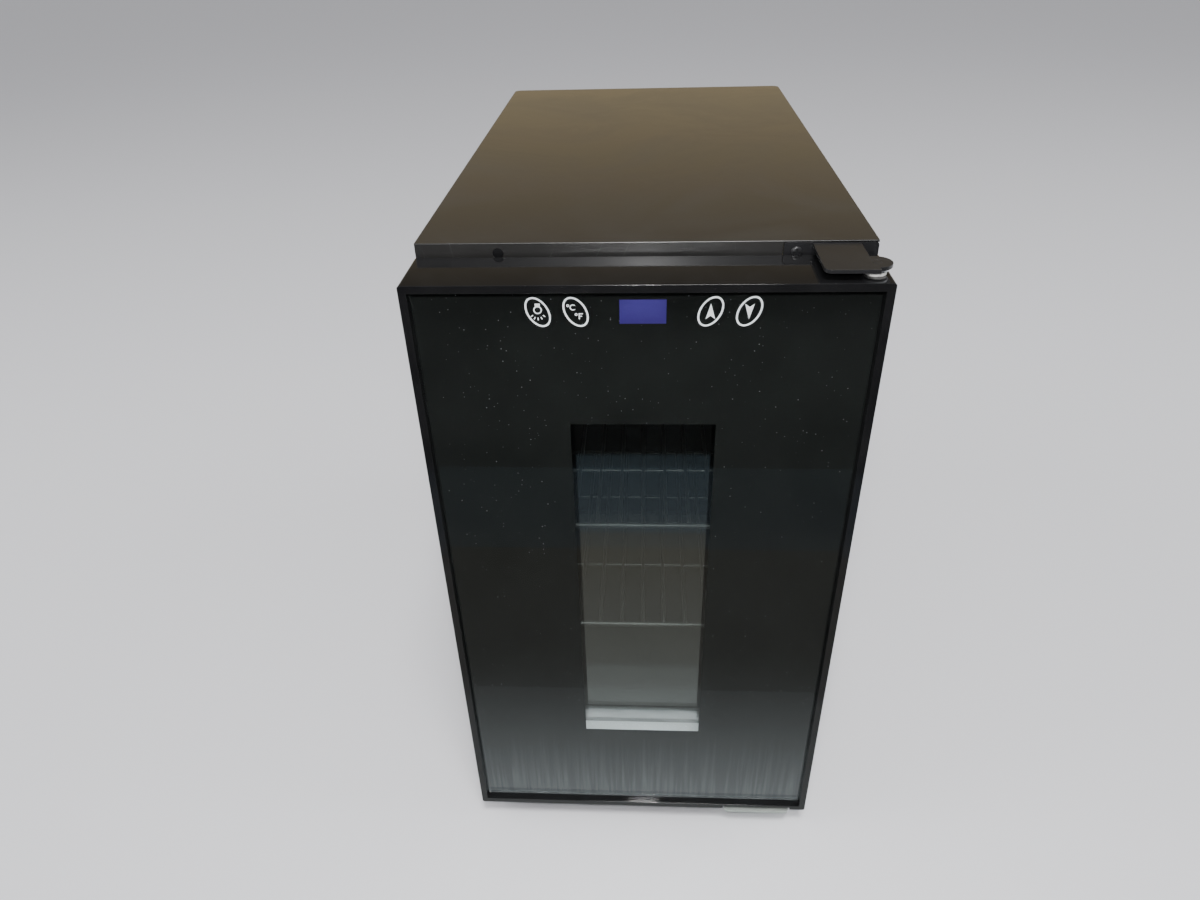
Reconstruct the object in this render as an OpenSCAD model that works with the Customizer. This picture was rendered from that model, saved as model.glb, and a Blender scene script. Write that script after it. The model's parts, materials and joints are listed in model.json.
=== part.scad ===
// Thermoelectric wine cooler for eight bottles, with a hinged glass door.
// The door faces -Y, +X is on the right of a person who faces the door, and +Z is up.
// The origin lies on the floor, under the middle of the whole object.

/* [Cabinet] */
// Width of the cabinet and of the door
body_w = 252; // [230:1:320]
// Depth of the cabinet, without the door and the rear guard
cab_d = 429; // [340:1:520]
// How far the cabinet stands above the door
cab_over = 7; // [7:0.5:12]
// How far the cabinet reaches below the door
cab_under = 7; // [6:0.5:12]
// Thickness of the painted sheet metal
skin_t = 0.8; // [0.5:0.1:1.2]
// Width of the folded front flange at the sides and the top
flange_w = 18; // [14:1:20]
// Radius of the upright rear corners
rear_r = 6; // [3:1:12]
// Height of the feet
foot_h = 10; // [8:1:20]
// Radius of a foot at the floor
foot_r = 13; // [8:1:16]

/* [Door] */
// Height of the door
door_h = 434; // [360:1:540]
// Thickness of the door
door_t = 40; // [36:1:50]
// Gap between the door and the cabinet
door_gap = 3; // [2.5:0.1:5]
// Width of the bezel round the glass
bezel_w = 4.4; // [3:0.2:8]
// Depth from the bezel's face to the glass
glass_recess = 5; // [3:0.5:6]
// Thickness of each pane
pane_t = 4; // [3:0.5:4]
// Gap between the two panes
pane_gap = 11; // [8:0.5:12]
// Width of the window left clear in the ink
window_w = 82.5; // [60:0.5:120]
// Height of the window left clear in the ink
window_h = 265; // [200:1:280]
// Height of the window's lower edge above the door's lower edge
window_z = 82; // [70:1:120]
// Distance from the window's edge to the spacer bar
spacer_margin = 4.5; // [3:0.5:8]
// Width of the spacer bar
spacer_w = 8; // [6:0.5:10]
// Thickness of the printed layers on the glass
ink_t = 0.15; // [0.1:0.05:0.3]

/* [Controls] */
// Width of the display
display_w = 24.5; // [16:0.5:30]
// Height of the display
display_h = 13.6; // [8:0.2:16]
// Distance from the door's top edge to the centre of the controls
controls_drop = 18; // [15:0.1:22]
// Distance from the middle to the inner pair of icons
icon_inner_x = 35.2; // [28:0.2:40]
// Distance from the middle to the outer pair of icons
icon_outer_x = 55.2; // [50:0.2:70]
// Lean of the icon rings
icon_lean = 29; // [0:1:45]

/* [Hinge] */
// Distance from the door's right side to the hinge axis
hinge_in = 8; // [7:0.5:9]
// Distance from the door's front face to the hinge axis
hinge_back = 14; // [14:0.5:18]
// Radius of a hinge pin
pin_r = 2.5; // [2:0.1:2.6]
// Thickness of the hinge brackets
bracket_t = 2; // [1.5:0.1:2]
// How far the lower bracket stands out in front of the door
bracket_proud = 1.5; // [0:0.5:3]
// Angle of the door in this drawing, up to its furthest
door_open = 0; // [0:5:120]

/* [Cavity] */
// Thickness of the side walls
wall_side = 28; // [26:1:40]
// Thickness of the top and bottom walls
wall_level = 27; // [27:1:40]
// Distance from the back of the cavity to the back of the cabinet
wall_rear = 84; // [72:1:95]
// Thickness of the inner liner
liner_t = 1.8; // [1.2:0.1:2]
// Radius of the wire in a rack's frame
rack_r = 2; // [1.6:0.1:2.5]
// Radius of the wires that hold the bottles
wire_r = 1.4; // [1:0.1:1.8]
// Number of wires that hold the bottles
wire_n = 11; // [7:2:13]
// Depth of a rack
rack_d = 246; // [200:1:248]

/* [Cooling] */
// Length of the cold sink's fins
cold_fins = 30; // [16:1:34]
// Side of the square cold fan
cold_fan = 80; // [60:1:80]
// Side of the square hot fan
hot_fan = 92; // [80:1:92]
// Depth of the guard behind the cabinet
guard_d = 34; // [30:1:45]
// Number of fins on a sink
fin_n = 12; // [8:1:16]

/* [Hidden] */
$fn = 64;
clear = 0.3;          // gap between pieces that move past each other
run = 0.05;           // radial clearance of a running fit
door_w = body_w;
total_d = bracket_proud + door_t + door_gap + cab_d + guard_d;
y_door = -total_d / 2 + bracket_proud;   // front of the door
y_cab = y_door + door_t + door_gap;      // front of the cabinet
y_back = y_cab + cab_d;                  // back of the cabinet
z_cab = foot_h;
z_door = foot_h + cab_under;
z_door_top = z_door + door_h;
z_top = z_door_top + cab_over;

// Cavity
in_w = body_w - 2 * wall_side;
in_d = cab_d - wall_rear;
z_floor = z_cab + wall_level;
in_h = z_top - wall_level - z_floor;
y_wall = y_cab + in_d;                   // face of the cavity's back wall
lip_w = wall_side - flange_w;            // liner's front lip at the sides, inside the sheet's flange
lip_h = wall_level - flange_w;           // the same at the top and the bottom
foam_front = 2;                          // front of the foam, behind flange, lip and brackets

// Door
glass_gap = 0.3;                         // gap round the front glass
glass_w = door_w - 2 * bezel_w - 2 * glass_gap;
glass_h = door_h - 2 * bezel_w - 2 * glass_gap;
y_glass = y_door + glass_recess;
y_ink = y_glass + pane_t;
y_spacer = y_ink + 2 * ink_t;
y_pane = y_spacer + pane_gap;
y_reveal = y_pane + pane_t;
ledge_w = 5;
ledge_t = 2;
liner_door_t = 2;
y_door_liner = y_door + door_t - liner_door_t;
window_mid = z_door + window_z + window_h / 2;
open_w = window_w + 2 * spacer_margin;   // clear opening of the spacer frame
open_h = window_h + 2 * spacer_margin;
pane_w = open_w + 2 * spacer_w;
pane_h = open_h + 2 * spacer_w;
reveal_w = open_w + 10;
reveal_h = open_h + 10;
z_controls = z_door_top - controls_drop;
pocket_w = 2 * icon_outer_x + 30;        // room for the control board behind the glass
pocket_d = 12;
y_board = y_spacer + 4;                  // front of the control board

// Gasket, which lands on the cabinet's front flange
gasket_w = 11;
gasket_t = door_gap - clear;
gasket_in_w = in_w + 4;
gasket_in_h = in_h + 4;
gasket_mid = z_floor + in_h / 2;

// Hinge
x_hinge = body_w / 2 - hinge_in;
y_hinge = y_door + hinge_back;
bush_r = pin_r + 1.1;
boss_r = bush_r + 0.9;
bush_len = 14;
lobe_r = hinge_in;
bracket_in = 35.5;                       // bracket's left edge, from the cabinet's right side
bracket_low_in = 62;                     // the same on the lower bracket
bracket_flange_w = 50.5;
top_tongue_back = 3;                     // from the door's face to the top bracket's front edge
top_tongue_r = 4;
low_tongue_w = 49.5;                     // tongue of the lower bracket that shows under the door
low_tongue_r = 3;
z_bracket = z_door_top + 4;              // underside of the top bracket
z_low_bracket = z_door - 0.5 - bracket_t;
top_flange_h = 12;
low_flange_h = 9;
low_flange_in = 4;                       // from the top flange's place to the lower flange's
notch_h = 2.4;
screw_r = 2;
screw_len = 14;
head_r = 3.4;
head_t = 1.2;
top_screw_x = [x_hinge - bracket_flange_w + 15, x_hinge - 3];
low_screw_x = [x_hinge - bracket_flange_w + 10, x_hinge - 16];
top_screw_z = z_bracket - head_r - 0.2;
low_screw_z = z_low_bracket + bracket_t + head_r + 0.2;
plug_x = -79.8;
plug_r = 3;

// Feet
foot_x = body_w / 2 - 26;
foot_in = 38;

// Cooling, stacked along Y from the cavity to the back
z_fan = z_floor + in_h / 2;
sink_w = 84;
hot_w = 108;
cold_base = 5;
block_w = 40;
module_t = 3.8;
hot_base = 6;
cold_fan_t = 15;
hot_fan_t = 25;
y_cold_fin = y_wall - cold_base - cold_fins;
y_cold_fan = y_cold_fin - 1 - cold_fan_t;
y_panel = y_back - skin_t;
y_hot_fin_end = y_panel - 1;
hot_fins = 25;
y_hot_base = y_hot_fin_end - hot_fins - hot_base;
y_module = y_hot_base - module_t;
cover_t = 2;
cover_gap = 0.5;                         // gap between the panel and the liner's walls
cover_w = in_w - 2 * cover_gap;
cover_h = in_h - 2 * cover_gap;
cover_rib = 12;                          // depth of the panel's rim
grille_pitch = 5.5;
grille_slot = 3;
vent_h = 5;                              // height of the slots where the cold air leaves
vent_drop = 14;                          // from the panel's edge to the middle of those slots
y_cover = y_cold_fan - 1 - cover_t;
duct_w = hot_w + 10;                     // warm-air duct in the foam
duct_low = z_fan - hot_w / 2 - 8;
duct_top = z_top - 32;
psu_w = 96;
psu_h = 60;
z_psu = duct_top - psu_h - 6;
guard_w = 150;
guard_h = 170;
guard_t = 2;
inlet_w = 27;
inlet_h = 20;
inlet_d = 22;
inlet_x = -body_w / 2 + 40;
z_inlet = z_cab + 40;

// Racks
rows = 4;
rack_pitch = in_h / rows;
rack_w = in_w - 6;
rack_in = 38;                            // from the cabinet's front to a rack at rest
ledge_len = rack_in + rack_d - 8;         // from 10 behind the front to just past the racks
ledge_h = 4;
ledge_out = 9;
bend_r = 8;

// A block between two corners
module block(x, y, z) translate([x[0], y[0], z[0]]) cube([x[1] - x[0], y[1] - y[0], z[1] - z[0]]);

// A flat shape drawn in X and Z, given a thickness from y towards the back
module upright(y, t) translate([0, y + t, 0]) rotate([90, 0, 0]) linear_extrude(t) children();

// A rectangle about the origin with round corners
module round_rect(w, h, r) {
    square([w - 2 * r, h], center = true);
    square([w, h - 2 * r], center = true);
    for (x = [-1, 1], y = [-1, 1]) translate([x * (w / 2 - r), y * (h / 2 - r)]) circle(r);
}

// An upright rectangular ring, centred at height z, from y towards the back
module frame_ring(w, h, inner_w, inner_h, y, t, z) {
    translate([0, 0, z]) upright(y, t) difference() {
        square([w, h], center = true);
        square([inner_w, inner_h], center = true);
    }
}

// The cabinet's outline in plan, with round rear corners, drawn in from the skin's face by inset
module plan(inset) {
    w = body_w - 2 * inset;
    r = rear_r - inset;
    translate([-w / 2, y_cab + inset]) square([w, cab_d - 2 * inset - r]);
    translate([-w / 2 + r, y_cab + inset]) square([w - 2 * r, cab_d - 2 * inset]);
    for (x = [-1, 1]) translate([x * (w / 2 - r), y_back - inset - r]) circle(r);
}

module along_y(x, y, z, r, len) translate([x, y, z]) rotate([-90, 0, 0]) cylinder(h = len, r = r);

module top_flange_2d(grow) {
    translate([x_hinge + lobe_r - bracket_flange_w / 2, z_bracket + bracket_t - top_flange_h / 2])
        round_rect(bracket_flange_w + 2 * grow, top_flange_h + 2 * grow, 2);
}

module low_flange_2d(grow) {
    translate([x_hinge - low_flange_in + lobe_r - bracket_flange_w / 2, z_low_bracket + (bracket_t + low_flange_h) / 2])
        round_rect(bracket_flange_w + 2 * grow, bracket_t + low_flange_h + 2 * grow, 2);
}

module outer_wrap() color("#17181a") difference() {
    translate([0, 0, z_cab]) linear_extrude(z_top - z_cab) plan(0);
    translate([0, 0, z_cab - 1]) linear_extrude(z_top - z_cab + 1 - skin_t) plan(skin_t);
    block([-body_w / 2 + flange_w, body_w / 2 - flange_w], [y_cab - 1, y_cab + skin_t + 1],
        [z_cab - 1, z_top - flange_w]);
    block([-body_w / 2 + rear_r, body_w / 2 - rear_r], [y_back - rear_r, y_back + 1],
        [z_cab - 1, z_top - skin_t]);
    upright(y_cab - 1, bracket_t + 1 + clear) top_flange_2d(clear);
    upright(y_cab - 1, bracket_t + 1 + clear) low_flange_2d(clear);
    along_y(plug_x, y_cab - 1, top_screw_z + 0.5, plug_r, skin_t + 2);
}

module foot_places() {
    for (x = [-foot_x, foot_x], y = [y_cab + foot_in, y_back - foot_in]) translate([x, y, 0]) children();
}

module base_pan() color("#1d1e20") {
    pan_w = body_w - 2 * skin_t;
    difference() {
        block([-pan_w / 2, pan_w / 2], [y_cab, y_back - rear_r], [z_cab, z_cab + skin_t]);
        block([-body_w, -body_w / 2 + flange_w], [y_cab - 1, y_cab + skin_t], [z_cab - 1, z_cab + 2]);
        block([body_w / 2 - flange_w, body_w], [y_cab - 1, y_cab + skin_t], [z_cab - 1, z_cab + 2]);
        foot_places() cylinder(h = z_cab + 5, r = screw_r);
    }
    difference() {
        block([-body_w / 2 + flange_w, body_w / 2 - flange_w], [y_cab, y_cab + skin_t],
            [z_cab, z_floor - lip_h]);
        upright(y_cab - 1, skin_t + 2) low_flange_2d(clear);
    }
}

module fan_hole(r) along_y(0, y_panel - 1, z_fan, r, skin_t + 2);

module rear_panel() color("#202124") difference() {
    block([-body_w / 2 + rear_r, body_w / 2 - rear_r], [y_panel, y_back], [z_cab, z_top - skin_t]);
    fan_hole(hot_fan / 2 - 3);
    for (i = [0:8], s = [-1, 1])
        block([s * 30 - 22, s * 30 + 22], [y_panel - 1, y_back + 1],
            [z_psu - 4 + i * 7, z_psu - 1 + i * 7]);
    block([inlet_x - inlet_w / 2, inlet_x + inlet_w / 2], [y_panel - 1, y_back + 1],
        [z_inlet - inlet_h / 2, z_inlet + inlet_h / 2]);
    guard_screw_places() along_y(0, y_panel - 1, 0, screw_r, skin_t + 2);
}

module cabinet_foam() color("#e6dfb8") difference() {
    translate([0, 0, z_cab + skin_t]) linear_extrude(z_top - z_cab - 2 * skin_t) intersection() {
        plan(skin_t);
        translate([-body_w, y_cab + foam_front]) square([2 * body_w, cab_d - foam_front - skin_t]);
    }
    block([-in_w / 2 - liner_t, in_w / 2 + liner_t], [y_cab, y_wall + liner_t],
        [z_floor - liner_t, z_floor + in_h + liner_t]);
    block([-block_w / 2, block_w / 2], [y_wall, y_module], [z_fan - block_w / 2, z_fan + block_w / 2]);
    block([-duct_w / 2, duct_w / 2], [y_module, y_back], [duct_low, duct_top]);
    block([-30, 30], [y_cab + 38, y_cab + 62], [z_floor + in_h, z_floor + in_h + 6]);
    block([inlet_x - inlet_w / 2, inlet_x + inlet_w / 2], [y_back - inlet_d - 1, y_back],
        [z_inlet - inlet_h / 2, z_inlet + inlet_h / 2]);
    foot_places() cylinder(h = z_cab + 16, r = screw_r);
    top_screws();
    low_screws();
    guard_screw_places() along_y(0, y_back - 14, 0, screw_r, 14);
    clamp_places() along_y(0, y_wall, 0, screw_r, y_hot_base - y_wall);
}

module inner_liner() color("#1a1b1d") {
    difference() {
        block([-in_w / 2 - liner_t, in_w / 2 + liner_t], [y_cab, y_wall + liner_t],
            [z_floor - liner_t, z_floor + in_h + liner_t]);
        block([-in_w / 2, in_w / 2], [y_cab - 1, y_wall], [z_floor, z_floor + in_h]);
        block([-block_w / 2, block_w / 2], [y_wall - 1, y_wall + 5],
            [z_fan - block_w / 2, z_fan + block_w / 2]);
        clamp_places() along_y(0, y_wall - 1, 0, screw_r, 6);
    }
    difference() {
        frame_ring(in_w + 2 * lip_w, in_h + 2 * lip_h, in_w, in_h, y_cab, liner_t, z_fan);
        upright(y_cab - 1, liner_t + 2) low_flange_2d(clear);
    }
    for (k = [1:rows - 1], s = [-1, 1]) mirror([s < 0 ? 1 : 0, 0, 0])
        block([in_w / 2 - ledge_out, in_w / 2], [y_cab + 10, y_cab + 10 + ledge_len],
            [rack_z(k) - rack_r - clear - ledge_h, rack_z(k) - rack_r - clear]);
}

module hole_plug() color("#0c0c0d") along_y(plug_x, y_cab + 0.2, top_screw_z + 0.5, plug_r, skin_t + 1);

module top_hinge_bracket() color("#111214") difference() {
    left = body_w / 2 - bracket_in;
    y_tongue = y_door + top_tongue_back;
    y_plate = y_tongue + top_tongue_r;
    union() {
        upright(y_cab, bracket_t) top_flange_2d(0);
        translate([0, 0, z_bracket]) linear_extrude(bracket_t) difference() {
            union() {
                translate([x_hinge, y_hinge]) circle(lobe_r);
                translate([left, y_plate]) square([bracket_in - hinge_in - 2, y_cab - y_plate]);
                translate([left + top_tongue_r, y_tongue])
                    square([bracket_in - top_tongue_r - hinge_in, y_hinge - y_tongue]);
                translate([left + top_tongue_r, y_plate]) circle(top_tongue_r);
            }
            translate([x_hinge, y_hinge]) circle(pin_r);
        }
    }
    for (x = top_screw_x) along_y(x, y_cab - 1, top_screw_z, screw_r, bracket_t + 2);
}

module top_hinge_pin() color("#111214") translate([x_hinge, y_hinge, z_door_top - bush_len])
    cylinder(h = z_bracket + bracket_t - z_door_top + bush_len, r = pin_r);

module hinge_washer() color("#d6d8da") translate([x_hinge, y_hinge, z_door_top + 2.2]) difference() {
    cylinder(h = 1.8, r = 6.5);
    translate([0, 0, -1]) cylinder(h = 4, r = pin_r);
}

module screw_along_y(x, z, len) {
    along_y(x, y_cab, z, screw_r, len);
    difference() {
        along_y(x, y_cab - head_t, z, head_r, head_t);
        block([x - 2.2, x + 2.2], [y_cab - 2, y_cab - 0.5], [z - 0.4, z + 0.4]);
        block([x - 0.4, x + 0.4], [y_cab - 2, y_cab - 0.5], [z - 2.2, z + 2.2]);
    }
}

module top_screws() for (x = top_screw_x) screw_along_y(x, top_screw_z, screw_len);
module low_screws() for (x = low_screw_x) screw_along_y(x, low_screw_z, screw_len);

module top_hinge_screws() color("#2a2b2d") top_screws();
module lower_hinge_screws() color("#a9acb0") low_screws();

module lower_hinge_bracket() color("#c9ccd0") difference() {
    left = body_w / 2 - bracket_low_in;
    tongue_d = hinge_back - lobe_r + bracket_proud + low_tongue_r;
    union() {
        upright(y_cab, bracket_t) low_flange_2d(0);
        translate([0, 0, z_low_bracket]) linear_extrude(bracket_t) difference() {
            union() {
                translate([x_hinge, y_hinge]) circle(lobe_r);
                translate([left, y_hinge - lobe_r])
                    square([bracket_low_in - hinge_in, y_cab - y_hinge + lobe_r]);
                translate([left + low_tongue_w / 2, y_door - bracket_proud + tongue_d / 2])
                    round_rect(low_tongue_w, tongue_d, low_tongue_r);
            }
            translate([x_hinge, y_hinge]) circle(pin_r);
        }
    }
    for (x = low_screw_x) along_y(x, y_cab - 1, low_screw_z, screw_r, bracket_t + 2);
}

module lower_hinge_pin() color("#b9bcc0") translate([x_hinge, y_hinge, 0]) {
    translate([0, 0, z_low_bracket]) cylinder(h = bracket_t + 0.5 + bush_len, r = pin_r);
    translate([0, 0, z_low_bracket - 0.8]) cylinder(h = 0.8, r = pin_r + 1.5);
}

module feet() color("#161616") foot_places() difference() {
    cylinder(h = foot_h, r1 = foot_r - 1.5, r2 = foot_r);
    translate([0, 0, -1]) cylinder(h = 5, r = 4.5);
    cylinder(h = foot_h + 1, r = screw_r);
}

module foot_screws() color("#b9bcc0") foot_places() {
    translate([0, 0, 4]) cylinder(h = z_cab + 12 - 4, r = screw_r);
    translate([0, 0, 2]) cylinder(h = 2, r = 4.2);
}

// Places of the bolts that clamp the two sinks on the module
module clamp_places() for (x = [-30, 30]) translate([x, 0, z_fan]) children();

module fins(w, y0, y1, h) {
    for (i = [0:fin_n - 1]) {
        x = -w / 2 + 0.6 + i * (w - 1.2) / (fin_n - 1);
        block([x - 0.6, x + 0.6], [y0, y1], [z_fan - h / 2, z_fan + h / 2]);
    }
}

module cold_sink() color("#c4c7ca") {
    difference() {
        block([-sink_w / 2, sink_w / 2], [y_wall - cold_base, y_wall],
            [z_fan - sink_w / 2, z_fan + sink_w / 2]);
        clamp_places() along_y(0, y_wall - cold_base - 1, 0, screw_r, cold_base + 2);
    }
    difference() {
        fins(sink_w, y_cold_fin, y_wall - cold_base, sink_w);
        clamp_places() along_y(0, y_cold_fin - 1, 0, 5, cold_fins + 1);
    }
}

module spacer_block() color("#b4b8bc")
    block([-block_w / 2, block_w / 2], [y_wall, y_module], [z_fan - block_w / 2, z_fan + block_w / 2]);

module thermoelectric_module() color("#f2f2ee")
    block([-block_w / 2, block_w / 2], [y_module, y_hot_base], [z_fan - block_w / 2, z_fan + block_w / 2]);

module module_gasket() color("#2b2b2b") difference() {
    frame_ring(duct_w, hot_w, block_w, block_w, y_module, module_t, z_fan);
    clamp_places() along_y(0, y_module - 1, 0, screw_r, module_t + 2);
}

module hot_sink() color("#c4c7ca") {
    difference() {
        block([-hot_w / 2, hot_w / 2], [y_hot_base, y_hot_base + hot_base],
            [z_fan - hot_w / 2, z_fan + hot_w / 2]);
        clamp_places() along_y(0, y_hot_base - 1, 0, screw_r, hot_base + 2);
    }
    fins(hot_w, y_hot_base + hot_base, y_hot_fin_end, hot_w);
}

module clamp_screws() color("#8f9296") clamp_places() {
    along_y(0, y_wall - cold_base, 0, screw_r, y_hot_base + hot_base - y_wall + cold_base);
    along_y(0, y_wall - cold_base - 3, 0, 4, 3);
}

// Fan frame with struts, a motor seat and a fixed shaft. The rotor turns in front of the seat.
module fan_housing(side, t) {
    bore = side / 2 - 2.5;
    seat_t = 3;
    difference() {
        translate([0, t, 0]) rotate([90, 0, 0]) linear_extrude(t) round_rect(side, side, 4);
        along_y(0, -1, 0, bore, t + 2);
        for (x = [-1, 1], z = [-1, 1]) along_y(x * (side / 2 - 5), -1, z * (side / 2 - 5), 2, t + 2);
    }
    along_y(0, t - seat_t, 0, side / 5, seat_t);
    along_y(0, 2, 0, 1.5, t - seat_t - 2);
    for (a = [45, 135]) rotate([0, a, 0]) block([-bore - 1, bore + 1], [t - seat_t, t - 0.5], [-1.5, 1.5]);
}

module fan_rotor(side, t) {
    tip = side / 2 - 4;
    hub_t = t - 6;
    blades = 7;
    difference() {
        union() {
            along_y(0, 1.5, 0, side / 5, hub_t);
            for (i = [0:blades - 1]) rotate([0, i * 360 / blades, 0])
                translate([side / 5 - 2, 1.5 + hub_t / 2, 0]) rotate([-38, 0, 0])
                    translate([0, -0.7, -hub_t * 0.62]) cube([tip - side / 5 + 1, 1.4, hub_t * 1.24]);
        }
        along_y(0, 1, 0, 1.5 + run, hub_t + 2);
    }
}

module cold_fan_housing() color("#26272a") translate([0, y_cold_fan, z_fan])
    fan_housing(cold_fan, cold_fan_t);
module cold_fan_rotor() color("#303236") translate([0, y_cold_fan, z_fan]) fan_rotor(cold_fan, cold_fan_t);
module hot_fan_housing() color("#26272a") translate([0, y_back, z_fan]) fan_housing(hot_fan, hot_fan_t);
module hot_fan_rotor() color("#303236") translate([0, y_back, z_fan]) fan_rotor(hot_fan, hot_fan_t);

function z_vent(s) = z_fan + s * (cover_h / 2 - vent_drop);

// Panel across the whole back of the cavity, with the fan's grille and slots where the cold air leaves
module inner_fan_cover() color("#1c1d1f") difference() {
    block([-cover_w / 2, cover_w / 2], [y_cover, y_cover + cover_rib],
        [z_fan - cover_h / 2, z_fan + cover_h / 2]);
    block([-cover_w / 2 + cover_t, cover_w / 2 - cover_t], [y_cover + cover_t, y_cover + cover_rib + 1],
        [z_fan - cover_h / 2 + cover_t, z_fan + cover_h / 2 - cover_t]);
    for (i = [-6:6]) {
        half = sqrt(pow(cold_fan / 2 - 3, 2) - pow(i * grille_pitch, 2));
        block([-half, half], [y_cover - 1, y_cover + cover_t + 1],
            [z_fan + i * grille_pitch - grille_slot / 2, z_fan + i * grille_pitch + grille_slot / 2]);
    }
    for (i = [-2:2], s = [-1, 1])
        block([i * 34 - 13, i * 34 + 13], [y_cover - 1, y_cover + cover_t + 1],
            [z_vent(s) - vent_h / 2, z_vent(s) + vent_h / 2]);
}

module guard_screw_places() {
    for (x = [-1, 1], z = [-1, 1])
        translate([x * (guard_w / 2 + 5), 0, z_fan + z * (guard_h / 2 - 12)]) children();
}

module rear_guard() color("#18191b") {
    difference() {
        block([-guard_w / 2, guard_w / 2], [y_back, y_back + guard_d],
            [z_fan - guard_h / 2, z_fan + guard_h / 2]);
        block([-guard_w / 2 + guard_t, guard_w / 2 - guard_t], [y_back - 1, y_back + guard_d - guard_t],
            [z_fan - guard_h / 2 + guard_t, z_fan + guard_h / 2 - guard_t]);
        for (i = [-11:11], s = [-1, 1])
            block([s * guard_w / 4 - 28, s * guard_w / 4 + 28],
                [y_back + guard_d - guard_t - 1, y_back + guard_d + 1],
                [z_fan + i * 6.6 - 1.6, z_fan + i * 6.6 + 1.6]);
        for (i = [-8:8], s = [-1, 1])
            block([s * guard_w / 2 - 3, s * guard_w / 2 + 3], [y_back + 7, y_back + guard_d - 8],
                [z_fan + i * 8.5 - 1.8, z_fan + i * 8.5 + 1.8]);
    }
    for (s = [-1, 1]) difference() {
        block([s * (guard_w / 2 + 5) - 6, s * (guard_w / 2 + 5) + 6], [y_back, y_back + guard_t],
            [z_fan - guard_h / 2, z_fan + guard_h / 2]);
        guard_screw_places() along_y(0, y_back - 1, 0, screw_r, guard_t + 2);
        block([-guard_w / 2 + guard_t, guard_w / 2 - guard_t], [y_back - 1, y_back + 5],
            [z_fan - guard_h, z_fan + guard_h]);
    }
}

module guard_screws() color("#a9acb0") guard_screw_places() {
    along_y(0, y_back - 12, 0, screw_r, 12 + guard_t);
    along_y(0, y_back + guard_t, 0, head_r, 2);
}

module power_board() color("#1f5a3a") {
    block([-psu_w / 2, psu_w / 2], [y_module + 6, y_module + 7.6], [z_psu, z_psu + psu_h]);
    for (x = [-1, 1], z = [5, psu_h - 5]) along_y(x * (psu_w / 2 - 5), y_module, z_psu + z, 3, 6);
}

module power_transformer() color("#c9a23a") {
    block([-40, -12], [y_module + 7.6, y_module + 28], [z_psu + 12, z_psu + 40]);
    for (i = [0:2]) along_y(2 + i * 14, y_module + 7.6, z_psu + 20, 5.5, 18);
    block([-4, 40], [y_module + 7.6, y_module + 10.6], [z_psu + 40, z_psu + 54]);
}

module mains_inlet() color("#141414") difference() {
    union() {
        block([inlet_x - inlet_w / 2, inlet_x + inlet_w / 2], [y_back - inlet_d, y_back],
            [z_inlet - inlet_h / 2, z_inlet + inlet_h / 2]);
        block([inlet_x - inlet_w / 2 - 2, inlet_x + inlet_w / 2 + 2], [y_back, y_back + 2.5],
            [z_inlet - inlet_h / 2 - 2, z_inlet + inlet_h / 2 + 2]);
    }
    block([inlet_x - inlet_w / 2 + 1.3, inlet_x + inlet_w / 2 - 1.3], [y_back - 15, y_back + 3],
        [z_inlet - inlet_h / 2 + 1.7, z_inlet + inlet_h / 2 - 1.7]);
    for (p = [[-7, -2], [7, -2], [0, 3]])
        block([inlet_x + p[0] - 1, inlet_x + p[0] + 1], [y_back - 18, y_back - 14],
            [z_inlet + p[1] - 2, z_inlet + p[1] + 2]);
}

module inlet_pins() color("#c8c8c4") for (p = [[-7, -2], [7, -2], [0, 3]])
    block([inlet_x + p[0] - 1, inlet_x + p[0] + 1], [y_back - 18, y_back - 5],
        [z_inlet + p[1] - 2, z_inlet + p[1] + 2]);

module lamp_board() color("#e9e9e4") block([-26, 26], [y_cab + 42, y_cab + 58],
    [z_floor + in_h - 1.5, z_floor + in_h]);

module lamp_lens() color("#eef2f5", 0.6) difference() {
    block([-30, 30], [y_cab + 38, y_cab + 62], [z_floor + in_h - 5, z_floor + in_h]);
    block([-28, 28], [y_cab + 40, y_cab + 60], [z_floor + in_h - 3.5, z_floor + in_h + 1]);
}

module temperature_sensor() color("#dfe1e2")
    along_y(sink_w / 2 + 18, y_wall - 24, z_fan + 40, 3, 24);

function rack_z(k) = z_floor + k * rack_pitch;

module rod_x(x0, x1, y, z, r) translate([x0, y, z]) rotate([0, 90, 0]) cylinder(h = x1 - x0, r = r);

module wire_rack(k) color("#2a2b2d") translate([0, y_cab + rack_in, rack_z(k)]) {
    half = rack_w / 2 - rack_r;
    front = rack_r;
    back = rack_d - rack_r;
    cross = in_w / 2 - ledge_out - 1;
    for (y = [front, back]) rod_x(-half + bend_r, half - bend_r, y, 0, rack_r);
    for (x = [-half, half]) along_y(x, front + bend_r, 0, rack_r, back - front - 2 * bend_r);
    for (c = [[1, 1, 180], [-1, 1, 270], [1, -1, 90], [-1, -1, 0]])
        translate([-c[0] * (half - bend_r), c[1] > 0 ? front + bend_r : back - bend_r, 0])
            rotate([0, 0, c[2]]) rotate_extrude(angle = 90) translate([bend_r, 0]) circle(rack_r);
    for (i = [0:wire_n - 1])
        along_y(-half + 10 + i * (2 * half - 20) / (wire_n - 1), front, 0, wire_r, back - front);
    for (y = [rack_d * 0.3, rack_d * 0.7]) rod_x(-cross, cross, y, -2 * wire_r + 0.6, wire_r);
}

module rack_lower() wire_rack(1);
module rack_middle() wire_rack(2);
module rack_upper() wire_rack(3);

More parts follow.
